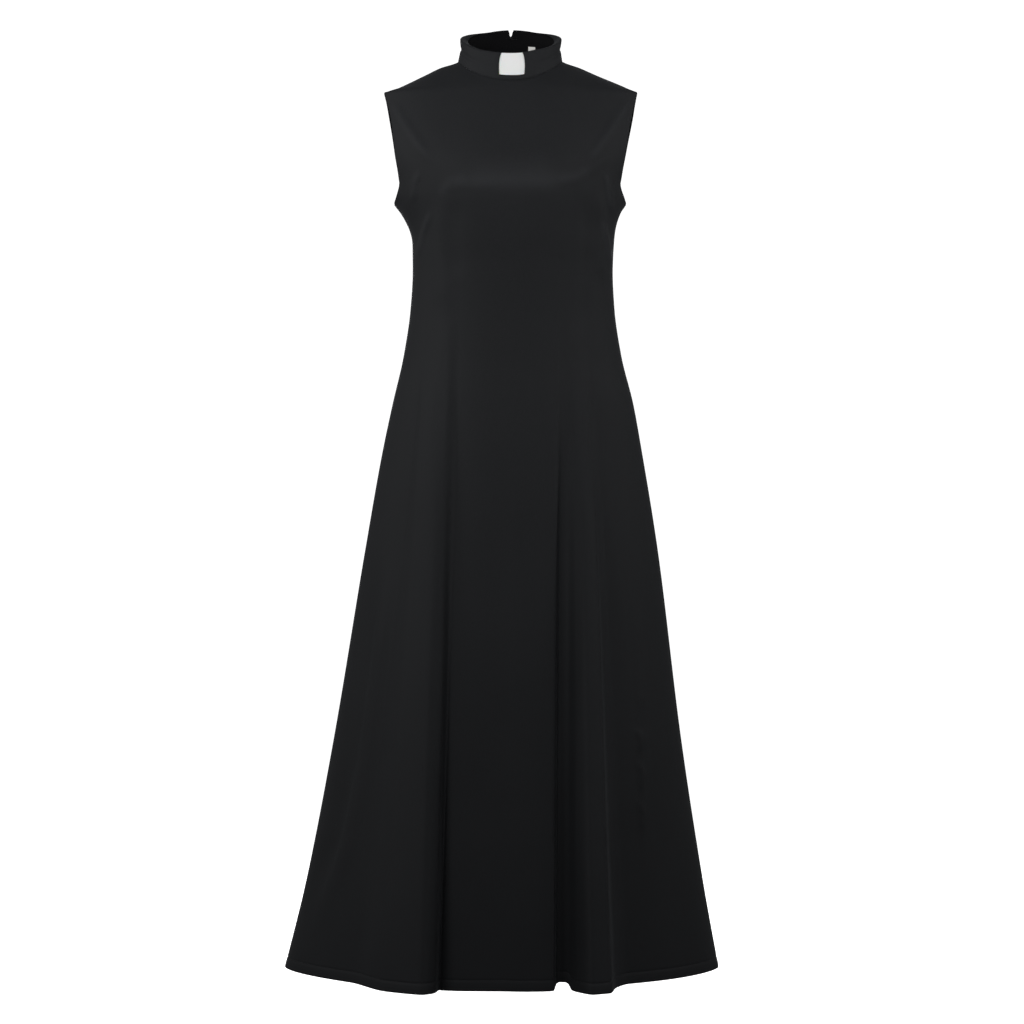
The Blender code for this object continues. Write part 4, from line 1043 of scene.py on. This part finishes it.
# A round floor that curves up into a wall all round. Its profile is (distance out, height).
profile = [(MIDDLE_HOLE, FLOOR_HEIGHT), (FLOOR_REACH, FLOOR_HEIGHT)]
for turn in np.linspace(0, math.pi / 2, COVE_STEPS + 1)[1:]:
    out, up = COVE * math.sin(turn), COVE * (1 - math.cos(turn))
    profile.append((FLOOR_REACH + out, FLOOR_HEIGHT + up))
profile.append((FLOOR_REACH + COVE, WALL_TOP))
angles = np.linspace(0, 2 * math.pi, SWEEP_SIDES, endpoint=False)
points = [(r * math.cos(angle), r * math.sin(angle), z) for angle in angles for r, z in profile]
count, total = len(profile), len(points)
faces = [
    (i, (i + count) % total, (i + count + 1) % total, i + 1)
    for i in range(total)
    if i % count < count - 1
]
faces.append([side * count for side in range(SWEEP_SIDES)][::-1])  # closes the middle
mesh = bpy.data.meshes.new("paper_sweep")
mesh.from_pydata(points, [], faces)
mesh.shade_smooth()
sweep = add_object("paper_sweep", mesh)
studio_paper = bpy.data.materials.new("studio_paper")  # matt white, lit from behind the dress
studio_paper.use_nodes = True
surface = studio_paper.node_tree.nodes["Principled BSDF"]
surface.inputs["Base Color"].default_value = linear("#f2f2f2")
surface.inputs["Roughness"].default_value = 0.9
surface.inputs["Emission Color"].default_value = linear("#ffffff")
surface.inputs["Emission Strength"].default_value = 1.0
sweep.data.materials.append(studio_paper)
sweep.visible_diffuse = sweep.visible_glossy = False  # black screens keep its light off the cloth

# Each light: where it stands, what it points at, its size and its power.
for name, place, aim, size, power in (
    ("softbox_right", (-1.20, -1.25, 0.42), (0, 0, -0.05), (0.7, 1.0), 13),
    ("softbox_left", (1.20, -1.25, 0.42), (0, 0, -0.05), (0.7, 1.0), 9),
    ("softbox_front", (0, -1.30, 0.18), (0, 0, -0.08), (1.2, 0.6), 6.2),
    ("strip_right", (-2.0, 0.00, 0.30), (0, 0, -0.15), (0.3, 1.4), 15),
    ("strip_left", (2.0, 0.00, 0.30), (0, 0, -0.15), (0.3, 1.4), 12),
    ("softbox_back", (0, 2.4, 0.10), (0, 0, -0.30), (1.4, 1.0), 36),
):
    light = bpy.data.lights.new(name, "AREA")
    light.shape = "RECTANGLE"
    light.size, light.size_y = size
    light.energy = power
    lamp = add_object(name, light)
    lamp.location = place
    lamp.rotation_euler = (Vector(aim) - Vector(place)).to_track_quat("-Z", "Y").to_euler()

world = bpy.data.worlds.new("studio_air")
world.use_nodes = True
air = world.node_tree.nodes["Background"]
air.inputs["Color"].default_value = linear("#ffffff")
air.inputs["Strength"].default_value = 0.10
bpy.context.scene.world = world
bpy.context.scene.view_settings.view_transform = "Standard"

CAMERA_HEIGHT, CAMERA_AWAY = -0.657, 4.5
FRAME_WIDE, SENSOR_WIDE = 1.495, 36.0  # the frame's width at the side seams, and the sensor's
lens = bpy.data.cameras.new("camera")
lens.sensor_width = SENSOR_WIDE
lens.lens = SENSOR_WIDE * CAMERA_AWAY / FRAME_WIDE
camera = add_object("camera", lens)
camera.location = (0, -CAMERA_AWAY, CAMERA_HEIGHT)
camera.rotation_euler = (math.pi / 2, 0, 0)
bpy.context.scene.camera = camera
